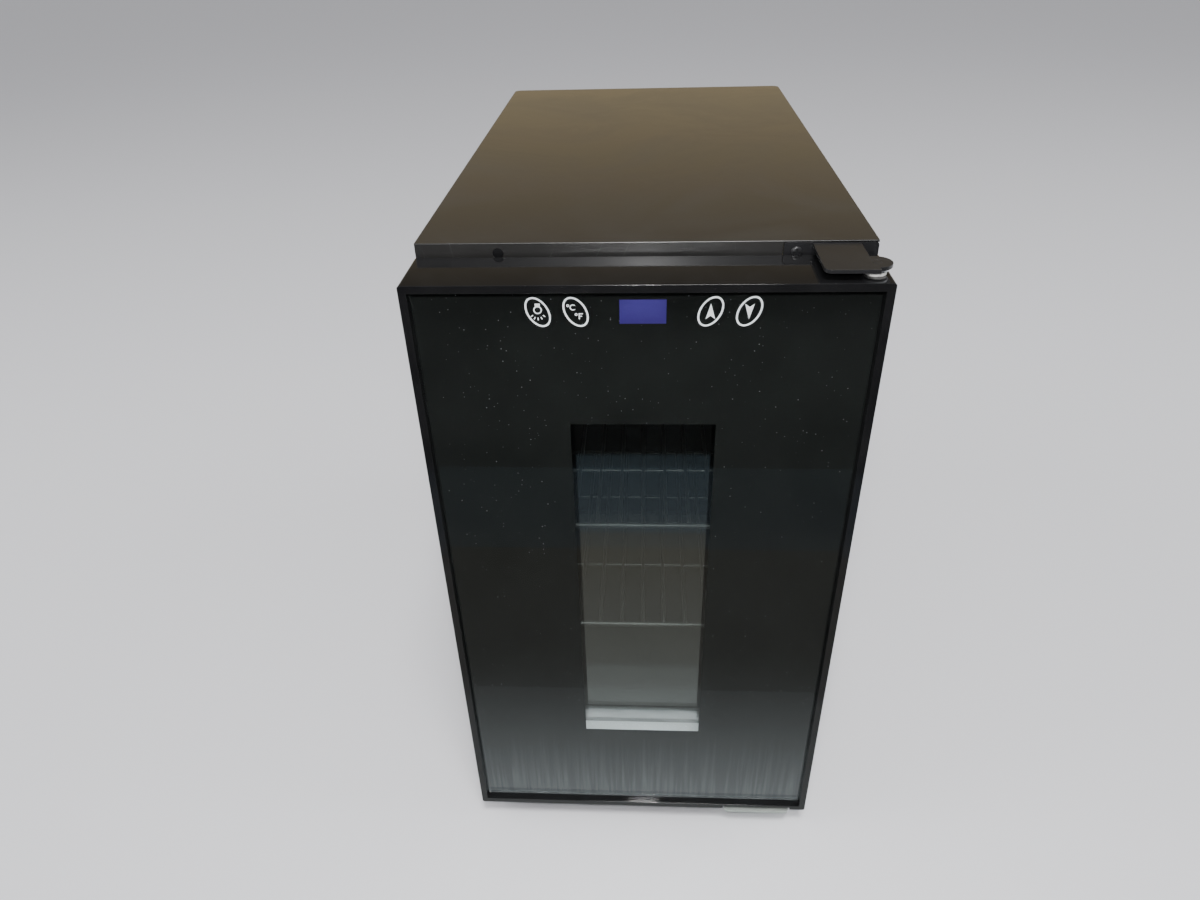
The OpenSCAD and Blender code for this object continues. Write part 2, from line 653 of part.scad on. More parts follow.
// The bezel, with a ledge behind the glass and a boss for each hinge bush
module door_frame() color("#0d0d0f") difference() {
    union() {
        difference() {
            translate([0, 0, z_door + door_h / 2]) upright(y_door, door_t) round_rect(door_w, door_h, 1.5);
            block([-door_w / 2 + bezel_w, door_w / 2 - bezel_w], [y_door - 1, y_door + door_t + 1],
                [z_door + bezel_w, z_door_top - bezel_w]);
        }
        difference() {
            frame_ring(door_w - bezel_w, door_h - bezel_w, door_w - 2 * (bezel_w + ledge_w),
                door_h - 2 * (bezel_w + ledge_w), y_spacer, ledge_t, z_door + door_h / 2);
            block([-pocket_w / 2, pocket_w / 2], [y_spacer - 1, y_spacer + ledge_t + 1],
                [z_controls, z_door_top - bezel_w]);
        }
        for (z = [z_door, z_door_top - bush_len - 2]) translate([x_hinge, y_hinge, z])
            cylinder(h = bush_len + 2, r = boss_r);
    }
    translate([x_hinge, y_hinge, z_door - 1]) cylinder(h = bush_len + 1, r = bush_r);
    translate([x_hinge, y_hinge, z_door_top - bush_len]) cylinder(h = bush_len + 1, r = bush_r);
    block([body_w / 2 - bracket_low_in - 1, body_w / 2 - bracket_low_in + low_tongue_w + 1],
        [y_door - 1, y_hinge - lobe_r], [z_door - 1, z_door + notch_h]);
}

module bush(z, up) translate([x_hinge, y_hinge, z]) mirror([0, 0, up ? 1 : 0]) difference() {
    union() {
        cylinder(h = bush_len, r = bush_r);
        translate([0, 0, up ? -1.5 : -0.4]) cylinder(h = up ? 1.5 : 0.4, r = bush_r + 2);
    }
    translate([0, 0, -2]) cylinder(h = bush_len + 3, r = pin_r + run);
}

module top_bush() color("#e8e8e4") bush(z_door_top, true);
module lower_bush() color("#e8e8e4") bush(z_door, false);

module front_glass() color("#10151a", 0.4) translate([0, 0, z_door + door_h / 2])
    upright(y_glass, pane_t) round_rect(glass_w, glass_h, 1);

module window_hole(y, t) translate([0, 0, window_mid]) upright(y, t)
    square([window_w, window_h], center = true);

module display_hole(y, t, grow) translate([0, 0, z_controls]) upright(y, t)
    square([display_w + 2 * grow, display_h + 2 * grow], center = true);

module ink_mask() color("#050506") difference() {
    translate([0, 0, z_door + door_h / 2]) upright(y_ink + ink_t, ink_t)
        square([glass_w, glass_h], center = true);
    window_hole(y_ink, 1);
    display_hole(y_ink, 1, 0);
}

module oval(a, b) scale([a / b, 1]) circle(b);

module icon_ring(lean) rotate(lean) difference() {
    oval(5.9, 9.1);
    oval(4.9, 8.1);
}

module lamp_icon() {
    translate([-1.35, 3.2]) square([2.7, 1.6]);
    translate([0, 1.2]) difference() {
        circle(2.3);
        circle(1.6);
    }
    for (i = [-2:2]) rotate(i * 28) translate([-0.3, -4.6]) square([0.6, 1.5]);
}

// The ring of the degree sign
module degree_ring() difference() {
    circle(0.75);
    circle(0.35);
}

// Degrees Celsius, drawn from an open ring
module unit_c() {
    difference() {
        circle(1.7);
        circle(1.1);
        translate([0.6, -1]) square([2, 2]);
    }
    translate([-2.6, 1]) degree_ring();
}

// Degrees Fahrenheit, drawn from three bars
module unit_f() {
    translate([-1.1, -1.7]) square([0.6, 3.4]);
    translate([-1.1, 1.1]) square([2.3, 0.6]);
    translate([-1.1, -0.3]) square([1.8, 0.6]);
    translate([-2.4, 1]) degree_ring();
}

module arrow_icon(way) scale([1, way])
    polygon([[0, 4.4], [2.5, -4.3], [0, -2.4], [-2.5, -4.3]]);

module icon_at(x) translate([x, z_controls]) children();

module touch_icons() color("#f4f5f5") upright(y_ink, ink_t) {
    icon_at(-icon_outer_x) {
        icon_ring(icon_lean);
        lamp_icon();
    }
    icon_at(-icon_inner_x) {
        icon_ring(icon_lean);
        translate([-1.4, 2.6]) unit_c();
        translate([2.6, -2.4]) unit_f();
    }
    icon_at(icon_inner_x) {
        icon_ring(-icon_lean);
        arrow_icon(1);
    }
    icon_at(icon_outer_x) {
        icon_ring(-icon_lean);
        arrow_icon(-1);
    }
}

module display_module() color("#3d2b9e") {
    display_hole(y_ink + ink_t, ink_t, 0);
    display_hole(y_spacer, 3.5, 1.5);
}

module control_board() color("#1f5a3a")
    block([-pocket_w / 2 + 4, pocket_w / 2 - 4], [y_board, y_board + 1.6],
        [z_controls - 12, z_controls + 8]);

module touch_springs() color("#c9a23a") for (x = [-icon_outer_x, -icon_inner_x, icon_inner_x, icon_outer_x])
    translate([0, 0, z_controls]) difference() {
        along_y(x, y_spacer, 0, 3.5, 4);
        along_y(x, y_spacer - 1, 0, 2.7, 6);
    }

module spacer_frame() color("#b8bcc0")
    frame_ring(pane_w, pane_h, open_w, open_h, y_spacer, pane_gap, window_mid);

module inner_pane() color("#10151a", 0.4) translate([0, 0, window_mid])
    upright(y_pane, pane_t) square([pane_w, pane_h], center = true);

module boss_cuts() for (z = [z_door, z_door_top - bush_len - 2]) translate([x_hinge, y_hinge, z - 1])
    cylinder(h = bush_len + 4, r = boss_r);

module door_foam() color("#e6dfb8") difference() {
    block([-door_w / 2 + bezel_w, door_w / 2 - bezel_w], [y_spacer + ledge_t, y_door_liner],
        [z_door + bezel_w, z_door_top - bezel_w]);
    translate([0, 0, window_mid]) upright(y_spacer, y_reveal - y_spacer)
        square([pane_w, pane_h], center = true);
    translate([0, 0, window_mid]) upright(y_spacer, door_t)
        square([reveal_w + 2 * liner_door_t, reveal_h + 2 * liner_door_t], center = true);
    block([-pocket_w / 2, pocket_w / 2], [y_spacer - 1, y_spacer + pocket_d], [z_controls - 16, z_door_top]);
    boss_cuts();
}

// The door's inner panel, with the sleeve that lines the window
module door_liner() color("#1a1b1d") {
    difference() {
        block([-door_w / 2 + bezel_w, door_w / 2 - bezel_w], [y_door_liner, y_door + door_t],
            [z_door + bezel_w, z_door_top - bezel_w]);
        translate([0, 0, window_mid]) upright(y_door_liner - 1, liner_door_t + 2)
            square([reveal_w, reveal_h], center = true);
    }
    frame_ring(reveal_w + 2 * liner_door_t, reveal_h + 2 * liner_door_t, reveal_w, reveal_h,
        y_reveal, y_door_liner - y_reveal, window_mid);
}

module door_gasket() color("#202124") frame_ring(gasket_in_w + 2 * gasket_w, gasket_in_h + 2 * gasket_w,
    gasket_in_w, gasket_in_h, y_door + door_t, gasket_t, gasket_mid);

// Turns the pieces of the door about the hinge axis
module on_door() translate([x_hinge, y_hinge, 0]) rotate([0, 0, door_open]) translate([-x_hinge, -y_hinge, 0])
    children();

outer_wrap();
base_pan();
rear_panel();
cabinet_foam();
inner_liner();
hole_plug();
top_hinge_bracket();
top_hinge_pin();
hinge_washer();
top_hinge_screws();
lower_hinge_bracket();
lower_hinge_pin();
lower_hinge_screws();
feet();
foot_screws();
cold_sink();
spacer_block();
thermoelectric_module();
module_gasket();
hot_sink();
clamp_screws();
cold_fan_housing();
cold_fan_rotor();
inner_fan_cover();
hot_fan_housing();
hot_fan_rotor();
rear_guard();
guard_screws();
power_board();
power_transformer();
mains_inlet();
inlet_pins();
lamp_board();
lamp_lens();
temperature_sensor();
rack_lower();
rack_middle();
rack_upper();
on_door() door_frame();
on_door() front_glass();
on_door() ink_mask();
on_door() touch_icons();
on_door() display_module();
on_door() control_board();
on_door() touch_springs();
on_door() spacer_frame();
on_door() inner_pane();
on_door() door_foam();
on_door() door_liner();
on_door() door_gasket();
on_door() top_bush();
on_door() lower_bush();
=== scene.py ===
"""Looks of a thermoelectric wine cooler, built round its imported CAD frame.

Every length is in metres, in the frame's own axes: the door faces -Y, +X is to the right of a person
who faces the door, and +Z is up. Places come from the CAD boxes, so a piece always goes where the frame
says. One class dresses each sub-assembly, and one frozen dataclass describes each finish.
"""

from __future__ import annotations

import json
import logging
import math
from dataclasses import dataclass, field
from enum import Enum
from functools import partial
from typing import Any, Iterable, Sequence

import bmesh
import bpy
from mathutils import Matrix, Vector

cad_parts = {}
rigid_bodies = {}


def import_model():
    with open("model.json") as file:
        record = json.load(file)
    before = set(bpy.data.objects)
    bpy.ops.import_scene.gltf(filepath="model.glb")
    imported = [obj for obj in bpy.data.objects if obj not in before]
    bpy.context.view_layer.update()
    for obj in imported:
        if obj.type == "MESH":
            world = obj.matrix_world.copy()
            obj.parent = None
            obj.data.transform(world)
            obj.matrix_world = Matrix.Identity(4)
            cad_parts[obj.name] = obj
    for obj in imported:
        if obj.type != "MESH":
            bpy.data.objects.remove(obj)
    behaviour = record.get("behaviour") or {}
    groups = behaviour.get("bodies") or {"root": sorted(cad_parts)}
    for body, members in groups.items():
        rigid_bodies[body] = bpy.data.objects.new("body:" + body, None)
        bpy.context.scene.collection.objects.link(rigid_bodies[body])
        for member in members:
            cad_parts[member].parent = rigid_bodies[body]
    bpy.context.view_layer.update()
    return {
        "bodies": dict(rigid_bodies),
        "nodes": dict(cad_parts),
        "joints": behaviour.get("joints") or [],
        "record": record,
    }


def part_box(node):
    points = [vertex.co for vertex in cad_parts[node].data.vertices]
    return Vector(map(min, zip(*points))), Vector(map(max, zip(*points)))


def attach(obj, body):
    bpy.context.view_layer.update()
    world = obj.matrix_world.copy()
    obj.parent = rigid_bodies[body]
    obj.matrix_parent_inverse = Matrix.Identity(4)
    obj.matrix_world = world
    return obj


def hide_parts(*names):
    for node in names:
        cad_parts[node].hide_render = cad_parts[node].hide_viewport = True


LOG = logging.getLogger("wine_cooler")
MM = 0.001
WELD = 0.002 * MM
Tree = bpy.types.NodeTree
Material = bpy.types.Material
Piece = bpy.types.Object
Shape = bmesh.types.BMesh
Color = tuple[float, float, float]
Point = tuple[float, float, float]
Profile = Sequence[tuple[float, float]]


class Body(Enum):
    """The rigid bodies that pieces ride on."""

    CABINET = "cabinet"
    DOOR = "door"
    COLD_ROTOR = "cold_rotor"
    HOT_ROTOR = "hot_rotor"
    LOWER_RACK = "lower_rack"
    MIDDLE_RACK = "middle_rack"
    UPPER_RACK = "upper_rack"


class Axis(Enum):
    """The ways that a card's light may change, as places in a point."""

    DEPTH = 1
    HEIGHT = 2


# ---------------------------------------------------------------------------------------- node trees


def feed(tree: Tree, node: Any, feeds: dict[Any, Any]) -> None:
    """Sets a node's inputs to plain values, or joins them to the sockets that drive them.

    Args:
        tree: The tree that holds the node.
        node: The node.
        feeds: Input name or number to a plain value or a socket.
    """
    for key, value in feeds.items():
        socket = node.inputs[key]
        if isinstance(value, bpy.types.NodeSocket):
            tree.links.new(value, socket)
        else:
            socket.default_value = (*value, 1.0) if socket.type == "RGBA" else value


def add_node(tree: Tree, kind: str, feeds: dict[Any, Any] | None = None, **settings: Any) -> Any:
    """Adds a node, sets it up and feeds its inputs.

    Args:
        tree: The shader or geometry tree that gets the node.
        kind: The node's type name.
        feeds: What its inputs get.
        **settings: Properties of the node.

    Returns:
        The new node.
    """
    made = tree.nodes.new(kind)
    for key, value in settings.items():
        setattr(made, key, value)
    feed(tree, made, feeds or {})
    return made


def math_node(tree: Tree, operation: str, *values: Any) -> Any:
    """Adds a Math node, such as "MULTIPLY", for numbers or sockets, and returns its result."""
    return add_node(tree, "ShaderNodeMath", dict(enumerate(values)), operation=operation).outputs[0]


def spread(tree: Tree, value: Any, low: float, high: float, to_low: float = 0.0, to_high: float = 1.0) -> Any:
    """Maps a socket's range from low to high onto another, clamped, and returns the result."""
    feeds = {"Value": value, "From Min": low, "From Max": high, "To Min": to_low, "To Max": to_high}
    return add_node(tree, "ShaderNodeMapRange", feeds).outputs["Result"]


def mix_colors(tree: Tree, share: Any, first: Any, second: Any) -> Any:
    """Mixes two colours, the second as share grows to 1, and returns the result."""
    return add_node(tree, "ShaderNodeMix", {0: share, 6: first, 7: second}, data_type="RGBA").outputs[2]


def own_place(tree: Tree) -> Any:
    """Gives a point's place in its object."""
    return add_node(tree, "ShaderNodeTexCoord").outputs["Object"]


def vector(tree: Tree, x: Any = 0.0, y: Any = 0.0, z: Any = 0.0) -> Any:
    """Joins three numbers or sockets into a vector."""
    return add_node(tree, "ShaderNodeCombineXYZ", {0: x, 1: y, 2: z}).outputs[0]


def noise(tree: Tree, place: Any, scale: Any, **shape: float) -> Any:
    """Adds a cloudy noise, shaped by its detail, roughness and distortion, and returns it."""
    feeds = {"Vector": place, "Scale": scale} | {key.capitalize(): value for key, value in shape.items()}
    return add_node(tree, "ShaderNodeTexNoise", feeds).outputs["Fac"]


def cell_noise(tree: Tree, place: Any, scale: Any) -> Any:
    """Adds a noise of separate cells and returns its outputs."""
    return add_node(tree, "ShaderNodeTexVoronoi", {"Vector": place, "Scale": scale}).outputs


def drawn_noise(tree: Tree, place: Any, scale: Any, detail: float) -> Any:
    """Adds a noise drawn out into lines by a scale for each axis, and returns it."""
    moved = add_node(tree, "ShaderNodeVectorMath", {0: place, 1: scale}, operation="MULTIPLY").outputs[0]
    return noise(tree, moved, 1.0, detail=detail)


def new_material(name: str) -> tuple[Material, Any]:
    """Makes a material and gives it with its shader."""
    material = bpy.data.materials.new(name)
    material.use_nodes = True
    return material, material.node_tree.nodes["Principled BSDF"]


class ShaderGroup:
    """A node group that several finishes place with their own values."""

    def __init__(self, name: str, inputs: dict[str, float], outputs: Sequence[str]) -> None:
        """Makes the empty group.

        Args:
            name: The group's name.
            inputs: Input name to default value.
            outputs: Names of the values it puts out.
        """
        self.tree = bpy.data.node_groups.new(name, "ShaderNodeTree")
        face = self.tree.interface
        for key, value in inputs.items():
            face.new_socket(key, in_out="INPUT", socket_type="NodeSocketFloat").default_value = value
        for key in outputs:
            face.new_socket(key, in_out="OUTPUT", socket_type="NodeSocketFloat")
        self.given = self.tree.nodes.new("NodeGroupInput").outputs
        self.exit = self.tree.nodes.new("NodeGroupOutput")
        self.place = own_place(self.tree)

    def put_out(self, name: str, value: Any) -> None:
        """Joins a socket to one of the group's outputs."""
        self.tree.links.new(value, self.exit.inputs[name])

    def use(self, tree: Tree, **values: float) -> Any:
        """Places the group in a material and returns its outputs."""
        made = add_node(tree, "ShaderNodeGroup", node_tree=self.tree)
        feed(tree, made, {key.capitalize(): value for key, value in values.items()})
        return made.outputs


class SharedEffects:
    """The shader groups that more than one finish uses, each built once."""

    def __init__(self) -> None:
        """Builds the groups."""
        self.grain = self._grain()
        self.film = self._film()
        self.brush = self._brush()
        self.scuffs = self._scuffs()

    def _grain(self) -> ShaderGroup:
        """Moulded or sprayed grain: one fine cellular height and one soft waviness."""
        group = ShaderGroup("surface_grain", {"Fine": 2500.0, "Wave": 60.0}, ("Height", "Wave height"))
        group.put_out("Height", noise(group.tree, group.place, group.given["Fine"], detail=2.0))
        group.put_out("Wave height", noise(group.tree, group.place, group.given["Wave"], detail=1.0))
        return group

    def _film(self) -> ShaderGroup:
        """Dust and wiped smears: a cloudy film broken by fine specks."""
        group = ShaderGroup("dust_film", {"Cloud": 14.0, "Speck": 900.0, "Amount": 0.5}, ("Film", "Specks"))
        tree, given = group.tree, group.given
        cloud = noise(tree, group.place, given["Cloud"], detail=5.0, roughness=0.62, distortion=0.7)
        cells = cell_noise(tree, group.place, given["Speck"])
        dots = spread(tree, cells["Distance"], 0.05, 0.16, 1.0, 0.0)
        rare = math_node(tree, "MULTIPLY", dots, spread(tree, cells["Color"], 0.80, 0.86))
        for name, value in (("Film", spread(tree, cloud, 0.42, 0.72)), ("Specks", rare)):
            group.put_out(name, math_node(tree, "MULTIPLY", value, given["Amount"]))
        return group

    def _brush(self) -> ShaderGroup:
        """Fine straight lines along one axis, as on rolled or drawn metal."""
        group = ShaderGroup("brushed_lines", {"Along": 8.0, "Across": 1400.0}, ("Lines",))
        scale = vector(group.tree, group.given["Along"], group.given["Across"], group.given["Across"])
        group.put_out("Lines", drawn_noise(group.tree, group.place, scale, 3.0))
        return group

    def _scuffs(self) -> ShaderGroup:
        """Short hairline scratches, as handling leaves on paint and gloss plastic."""
        group = ShaderGroup("hairline_scuffs", {"Length": 18.0, "Width": 1500.0, "Amount": 0.4}, ("Scuffs",))
        tree, given = group.tree, group.given
        found = None
        for turn in (0.5, 1.9, 2.7):
            turned = add_node(tree, "ShaderNodeVectorRotate",
                              {"Vector": group.place, "Axis": (0.4, 0.8, 0.5), "Angle": turn}).outputs[0]
            scale = vector(tree, given["Length"], given["Width"], given["Length"])
            line = spread(tree, drawn_noise(tree, turned, scale, 1.0), 0.74, 0.80)
            found = line if found is None else math_node(tree, "MAXIMUM", found, line)
        group.put_out("Scuffs", math_node(tree, "MULTIPLY", found, given["Amount"]))
        return group


# ------------------------------------------------------------------------------------------ finishes


@dataclass(frozen=True)
class Finish:
    """What every finish shares.

    Attributes:
        name: The material's name.
        color: Base colour, linear.
        roughness: Base roughness.
    """

    name: str
    color: Color
    roughness: float

    def build(self, effects: SharedEffects) -> Material:
        """Makes the material on first use and hands the same one out after that."""
        found = bpy.data.materials.get(self.name)
        if found:
            return found
        material, shader = new_material(self.name)
        feed(material.node_tree, shader, {"Base Color": self.color, "Roughness": self.roughness})
        self.dress(material.node_tree, shader, effects)
        return material

    def dress(self, tree: Tree, shader: Any, effects: SharedEffects) -> None:
        """Adds what makes this finish more than one flat colour."""
        raise NotImplementedError

    def tint(self, share: float, lift: float = 0.0) -> Color:
        """Gives the finish's colour, scaled and lifted."""
        return tuple(min(1.0, c * share + lift) for c in self.color)

    def rougher(self, tree: Tree, worn: Any, more: float) -> Any:
        """Gives the roughness, with more of it where the surface is worn."""
        return spread(tree, worn, 0.0, 1.0, self.roughness, self.roughness + more)

    def bump(self, tree: Tree, shader: Any, height: Any, depth: float) -> None:
        """Feeds a height from 0 to 1, with its real depth in metres, to the shader's normal."""
        made = add_node(tree, "ShaderNodeBump", {"Height": height, "Strength": 1.0, "Distance": depth})
        feed(tree, shader, {"Normal": made.outputs[0]})


@dataclass(frozen=True)
class Painted(Finish):
    """Sprayed satin paint on sheet steel, with orange peel, dust and hairline scuffs."""

    peel: float = 0.000012
    dust: float = 0.35
    lacquer: float = 0.0

    def dress(self, tree: Tree, shader: Any, effects: SharedEffects) -> None:
        """Adds peel to the normal, and dust and scuffs to the colour and the roughness."""
        film = effects.film.use(tree, cloud=9.0, speck=420.0, amount=self.dust)
        scuffs = effects.scuffs.use(tree, amount=0.35)["Scuffs"]
        color = mix_colors(tree, film["Film"], self.color, self.tint(2.0, 0.01))
        color = mix_colors(tree, film["Specks"], color, (0.22, 0.21, 0.20))
        color = mix_colors(tree, scuffs, color, (0.06, 0.06, 0.062))
        rough = self.rougher(tree, math_node(tree, "ADD", film["Film"], scuffs), 0.22)
        feed(tree, shader, {"Base Color": color, "Roughness": rough, "Coat Weight": self.lacquer,
                            "Coat Roughness": 0.16})
        self.bump(tree, shader, effects.grain.use(tree, fine=1100.0)["Height"], self.peel)


@dataclass(frozen=True)
class Moulded(Finish):
    """Moulded plastic, from piano gloss to a fine spark-eroded grain."""

    grain: float = 0.00001
    dust: float = 0.2

    def dress(self, tree: Tree, shader: Any, effects: SharedEffects) -> None:
        """Adds grain to the normal, and dust and handling marks to the roughness."""
        film = effects.film.use(tree, cloud=22.0, speck=520.0, amount=self.dust)
        scuffs = effects.scuffs.use(tree, amount=0.3)["Scuffs"]
        color = mix_colors(tree, film["Film"], self.color, self.tint(1.6, 0.01))
        color = mix_colors(tree, film["Specks"], color, self.tint(1.0, 0.15))
        rough = self.rougher(tree, math_node(tree, "ADD", film["Film"], scuffs), 0.25)
        feed(tree, shader, {"Base Color": color, "Roughness": rough})
        self.bump(tree, shader, effects.grain.use(tree, fine=1800.0)["Height"], self.grain)


@dataclass(frozen=True)
class Metal(Finish):
    """Bare or plated metal with drawn lines and slight tarnish."""

    lines: float = 0.12
    tarnish: float = 0.25

    def dress(self, tree: Tree, shader: Any, effects: SharedEffects) -> None:
        """Adds drawn lines and tarnish to the roughness and the colour."""
        lines = effects.brush.use(tree)["Lines"]
        film = effects.film.use(tree, cloud=60.0, amount=self.tarnish)["Film"]
        lined = spread(tree, lines, 0.3, 0.7, self.roughness, self.roughness + self.lines)
        rough = math_node(tree, "ADD", lined, math_node(tree, "MULTIPLY", film, 0.3))
        color = mix_colors(tree, film, self.color, self.tint(0.62))
        feed(tree, shader, {"Base Color": color, "Roughness": rough, "Metallic": 1.0})
        self.bump(tree, shader, lines, 0.000004)


@dataclass(frozen=True)
class Rubber(Finish):
    """Soft black elastomer with a dusty bloom."""

    def dress(self, tree: Tree, shader: Any, effects: SharedEffects) -> None:
        """Adds bloom to the colour and a fine skin to the normal."""
        film = effects.film.use(tree, cloud=70.0, amount=0.5)["Film"]
        feed(tree, shader, {"Base Color": mix_colors(tree, film, self.color, self.tint(2.0, 0.02))})
        self.bump(tree, shader, effects.grain.use(tree, fine=2600.0)["Height"], 0.00002)


@dataclass(frozen=True)
class Pane(Finish):
    """Clear float glass, which lets lamps through to what is behind it."""

    smear: float = 0.15
    index: float = 1.52

    def dress(self, tree: Tree, shader: Any, effects: SharedEffects) -> None:
        """Makes the glass clear, lets shadow rays pass, and leaves a faint wiped film on it."""
        film = effects.film.use(tree, cloud=26.0, amount=self.smear)["Film"]
        feed(tree, shader, {"Transmission Weight": 1.0, "IOR": self.index,
                            "Roughness": self.rougher(tree, film, 0.04)})
        path = add_node(tree, "ShaderNodeLightPath").outputs["Is Shadow Ray"]
        clear = add_node(tree, "ShaderNodeBsdfTransparent", {"Color": self.color}).outputs[0]
        mixed = add_node(tree, "ShaderNodeMixShader", {0: path, 1: shader.outputs[0], 2: clear}).outputs[0]
        feed(tree, tree.nodes["Material Output"], {"Surface": mixed})


@dataclass(frozen=True)
class Print(Finish):
    """Screen-printed enamel on the back of the glass, which has no gloss of its own.

    Attributes:
        mottle: How much the enamel's colour varies.
        smudge_and_floor_reflection: Colour of the wiped film towards the bottom of the door, which also
            paints the lit floor's reflection there as a soft lightening.
        smudge_reflection_low: Height where the film and the painted reflection are strongest.
        smudge_reflection_high: Height where they end.
        painted_glow: Strength of a glow painted into the print, which brightens it as light falling on it
            would.
    """

    mottle: float = 0.25
    smudge_and_floor_reflection: Color | None = None
    smudge_reflection_low: float = 0.02
    smudge_reflection_high: float = 0.2
    painted_glow: float = 0.0

    def dress(self, tree: Tree, shader: Any, effects: SharedEffects) -> None:
        """Adds the enamel's faint mottle and its film, with a painted floor reflection, to the colour, and a
        painted glow.
        """
        waves = effects.grain.use(tree, wave=30.0)["Wave height"]
        color = mix_colors(tree, waves, self.tint(1.0 - self.mottle), self.tint(1.0 + self.mottle))
        if self.smudge_and_floor_reflection:
            color = self.film(tree, color, effects)
        # The emission is a painted glow that brightens the print, where one is set.
        feed(tree, shader, {"Specular IOR Level": 0.0, "Emission Color": self.color,
                            "Emission Strength": self.painted_glow, "Base Color": color})

    def film(self, tree: Tree, color: Any, effects: SharedEffects) -> Any:
        """Lays the wiped film with its streaks and specks over a colour, with a painted reflection of the lit
        floor that lightens it towards the bottom of the door, and returns the result.
        """
        height = add_node(tree, "ShaderNodeSeparateXYZ", {0: own_place(tree)}).outputs["Z"]
        # Towards the bottom the enamel lightens: real wiped streaks and specks, plus a soft painted
        # reflection of the lit floor.
        fall = spread(tree, height, self.smudge_reflection_low, self.smudge_reflection_high, 1.0, 0.0)
        streaks = effects.brush.use(tree, along=420.0, across=11.0)["Lines"]
        wiped = spread(tree, streaks, 0.45, 0.75, 0.0, 0.9)
        wiped = math_node(tree, "MULTIPLY", wiped, math_node(tree, "POWER", fall, 6.0))
        # Painted reflection of the lit floor: a soft lightening of the enamel towards the bottom of the door.
        soft = math_node(tree, "MULTIPLY", math_node(tree, "POWER", fall, 2.2), 0.86)
        smudged_and_reflecting = mix_colors(tree, math_node(tree, "ADD", soft, wiped), color, self.smudge_and_floor_reflection)
        specks = effects.film.use(tree, speck=420.0, amount=0.9)["Specks"]
        return mix_colors(tree, specks, smudged_and_reflecting, (0.30, 0.31, 0.33))


@dataclass(frozen=True)
class Glow(Finish):
    """A backlit panel behind a diffuser."""

    light: Color = (0.1, 0.06, 0.5)

    def dress(self, tree: Tree, shader: Any, effects: SharedEffects) -> None:
        """Adds the backlight, faintly banded by the diffuser."""
        waves = effects.grain.use(tree, wave=55.0)["Wave height"]
        dim = tuple(c * 0.72 for c in self.light)
        feed(tree, shader, {"Specular IOR Level": 0.0, "Emission Strength": 1.0,
                            "Emission Color": mix_colors(tree, waves, dim, self.light)})


@dataclass(frozen=True)
class Foam(Finish):
    """Rigid polyurethane foam with an open, pitted skin."""

    def dress(self, tree: Tree, shader: Any, effects: SharedEffects) -> None:
        """Adds pits to the normal and an aged tint to the colour."""
        cells = cell_noise(tree, own_place(tree), 520.0)
        film = effects.film.use(tree, cloud=16.0, amount=0.6)["Film"]
        aged = tuple(c * fade for c, fade in zip(self.color, (0.8, 0.66, 0.45)))
        feed(tree, shader, {"Base Color": mix_colors(tree, film, self.color, aged)})
        self.bump(tree, shader, cells["Distance"], 0.0004)


class Finishes:
    """Every finish of the cooler."""

    WRAP = Painted("painted_wrap", (0.012, 0.0115, 0.011), 0.36, lacquer=0.35)
    DARK_STEEL = Painted("painted_back", (0.018, 0.018, 0.019), 0.42)
    BRACKET = Painted("painted_bracket", (0.010, 0.010, 0.011), 0.30, peel=0.000008, dust=0.2)
    BEZEL = Moulded("gloss_bezel", (0.0065, 0.0065, 0.007), 0.06, grain=0.0000015, dust=0.25)
    LINER = Moulded("satin_liner", (0.014, 0.014, 0.015), 0.36, grain=0.00001)
    DUCT = Moulded("duct_plastic", (0.010, 0.011, 0.013), 0.42, grain=0.00001, dust=0.4)
    ROTOR = Moulded("rotor_plastic", (0.026, 0.026, 0.028), 0.38, grain=0.00001)
    FAN = Moulded("fan_plastic", (0.022, 0.022, 0.024), 0.45, grain=0.00002)
    WHITE = Moulded("white_plastic", (0.74, 0.74, 0.71), 0.35, grain=0.00001)
    CERAMIC = Moulded("ceramic_plate", (0.84, 0.84, 0.80), 0.5, grain=0.00002)
    TRANSFORMER = Moulded("transformer_tape", (0.20, 0.15, 0.035), 0.40, grain=0.00002)
    BOARD = Moulded("circuit_board", (0.012, 0.09, 0.04), 0.32, grain=0.000006)
    WOUND = Metal("wound_copper", (0.72, 0.38, 0.18), 0.30)
    PLATE = Metal("bright_plate", (0.72, 0.77, 0.73), 0.44)
    ZINC = Metal("zinc_plate", (0.70, 0.72, 0.74), 0.26)
    WIRE = Painted("coated_wire", (0.008, 0.008, 0.009), 0.80, peel=0.00001, dust=0.2)
    FINS = Metal("fin_aluminium", (0.74, 0.75, 0.76), 0.28)
    SPACER = Metal("spacer_aluminium", (0.50, 0.54, 0.54), 0.09, lines=0.08)
    RUBBER = Rubber("black_rubber", (0.016, 0.016, 0.016), 0.62)
    GASKET = Rubber("gasket_rubber", (0.020, 0.020, 0.021), 0.55)
    GLASS = Pane("float_glass", (0.96, 0.985, 0.975), 0.0, index=1.42)
    COATED_GLASS = Pane("coated_glass", (0.93, 0.96, 0.95), 0.0, index=1.75)
    LENS = Moulded("lamp_lens", (0.82, 0.85, 0.86), 0.22, grain=0.00004)
    # The enamel's film colour lightens the bottom of the door: real smudges, and a painted reflection of the
    # lit floor.
    INK = Print("black_enamel", (0.0095, 0.0104, 0.0100), 0.9, smudge_and_floor_reflection=(0.135, 0.146, 0.153))
    # The icons' glow is painted light that brightens the white print.
    ICON = Print("white_enamel", (0.92, 0.94, 0.96), 0.8, mottle=0.03, painted_glow=0.35)
    DISPLAY = Glow("display_backlight", (0.02, 0.018, 0.06), 0.6, light=(0.046, 0.028, 0.21))
    FOAM = Foam("rigid_foam", (0.80, 0.72, 0.44), 0.85)


# -------------------------------------------------------------------------------------------- shapes


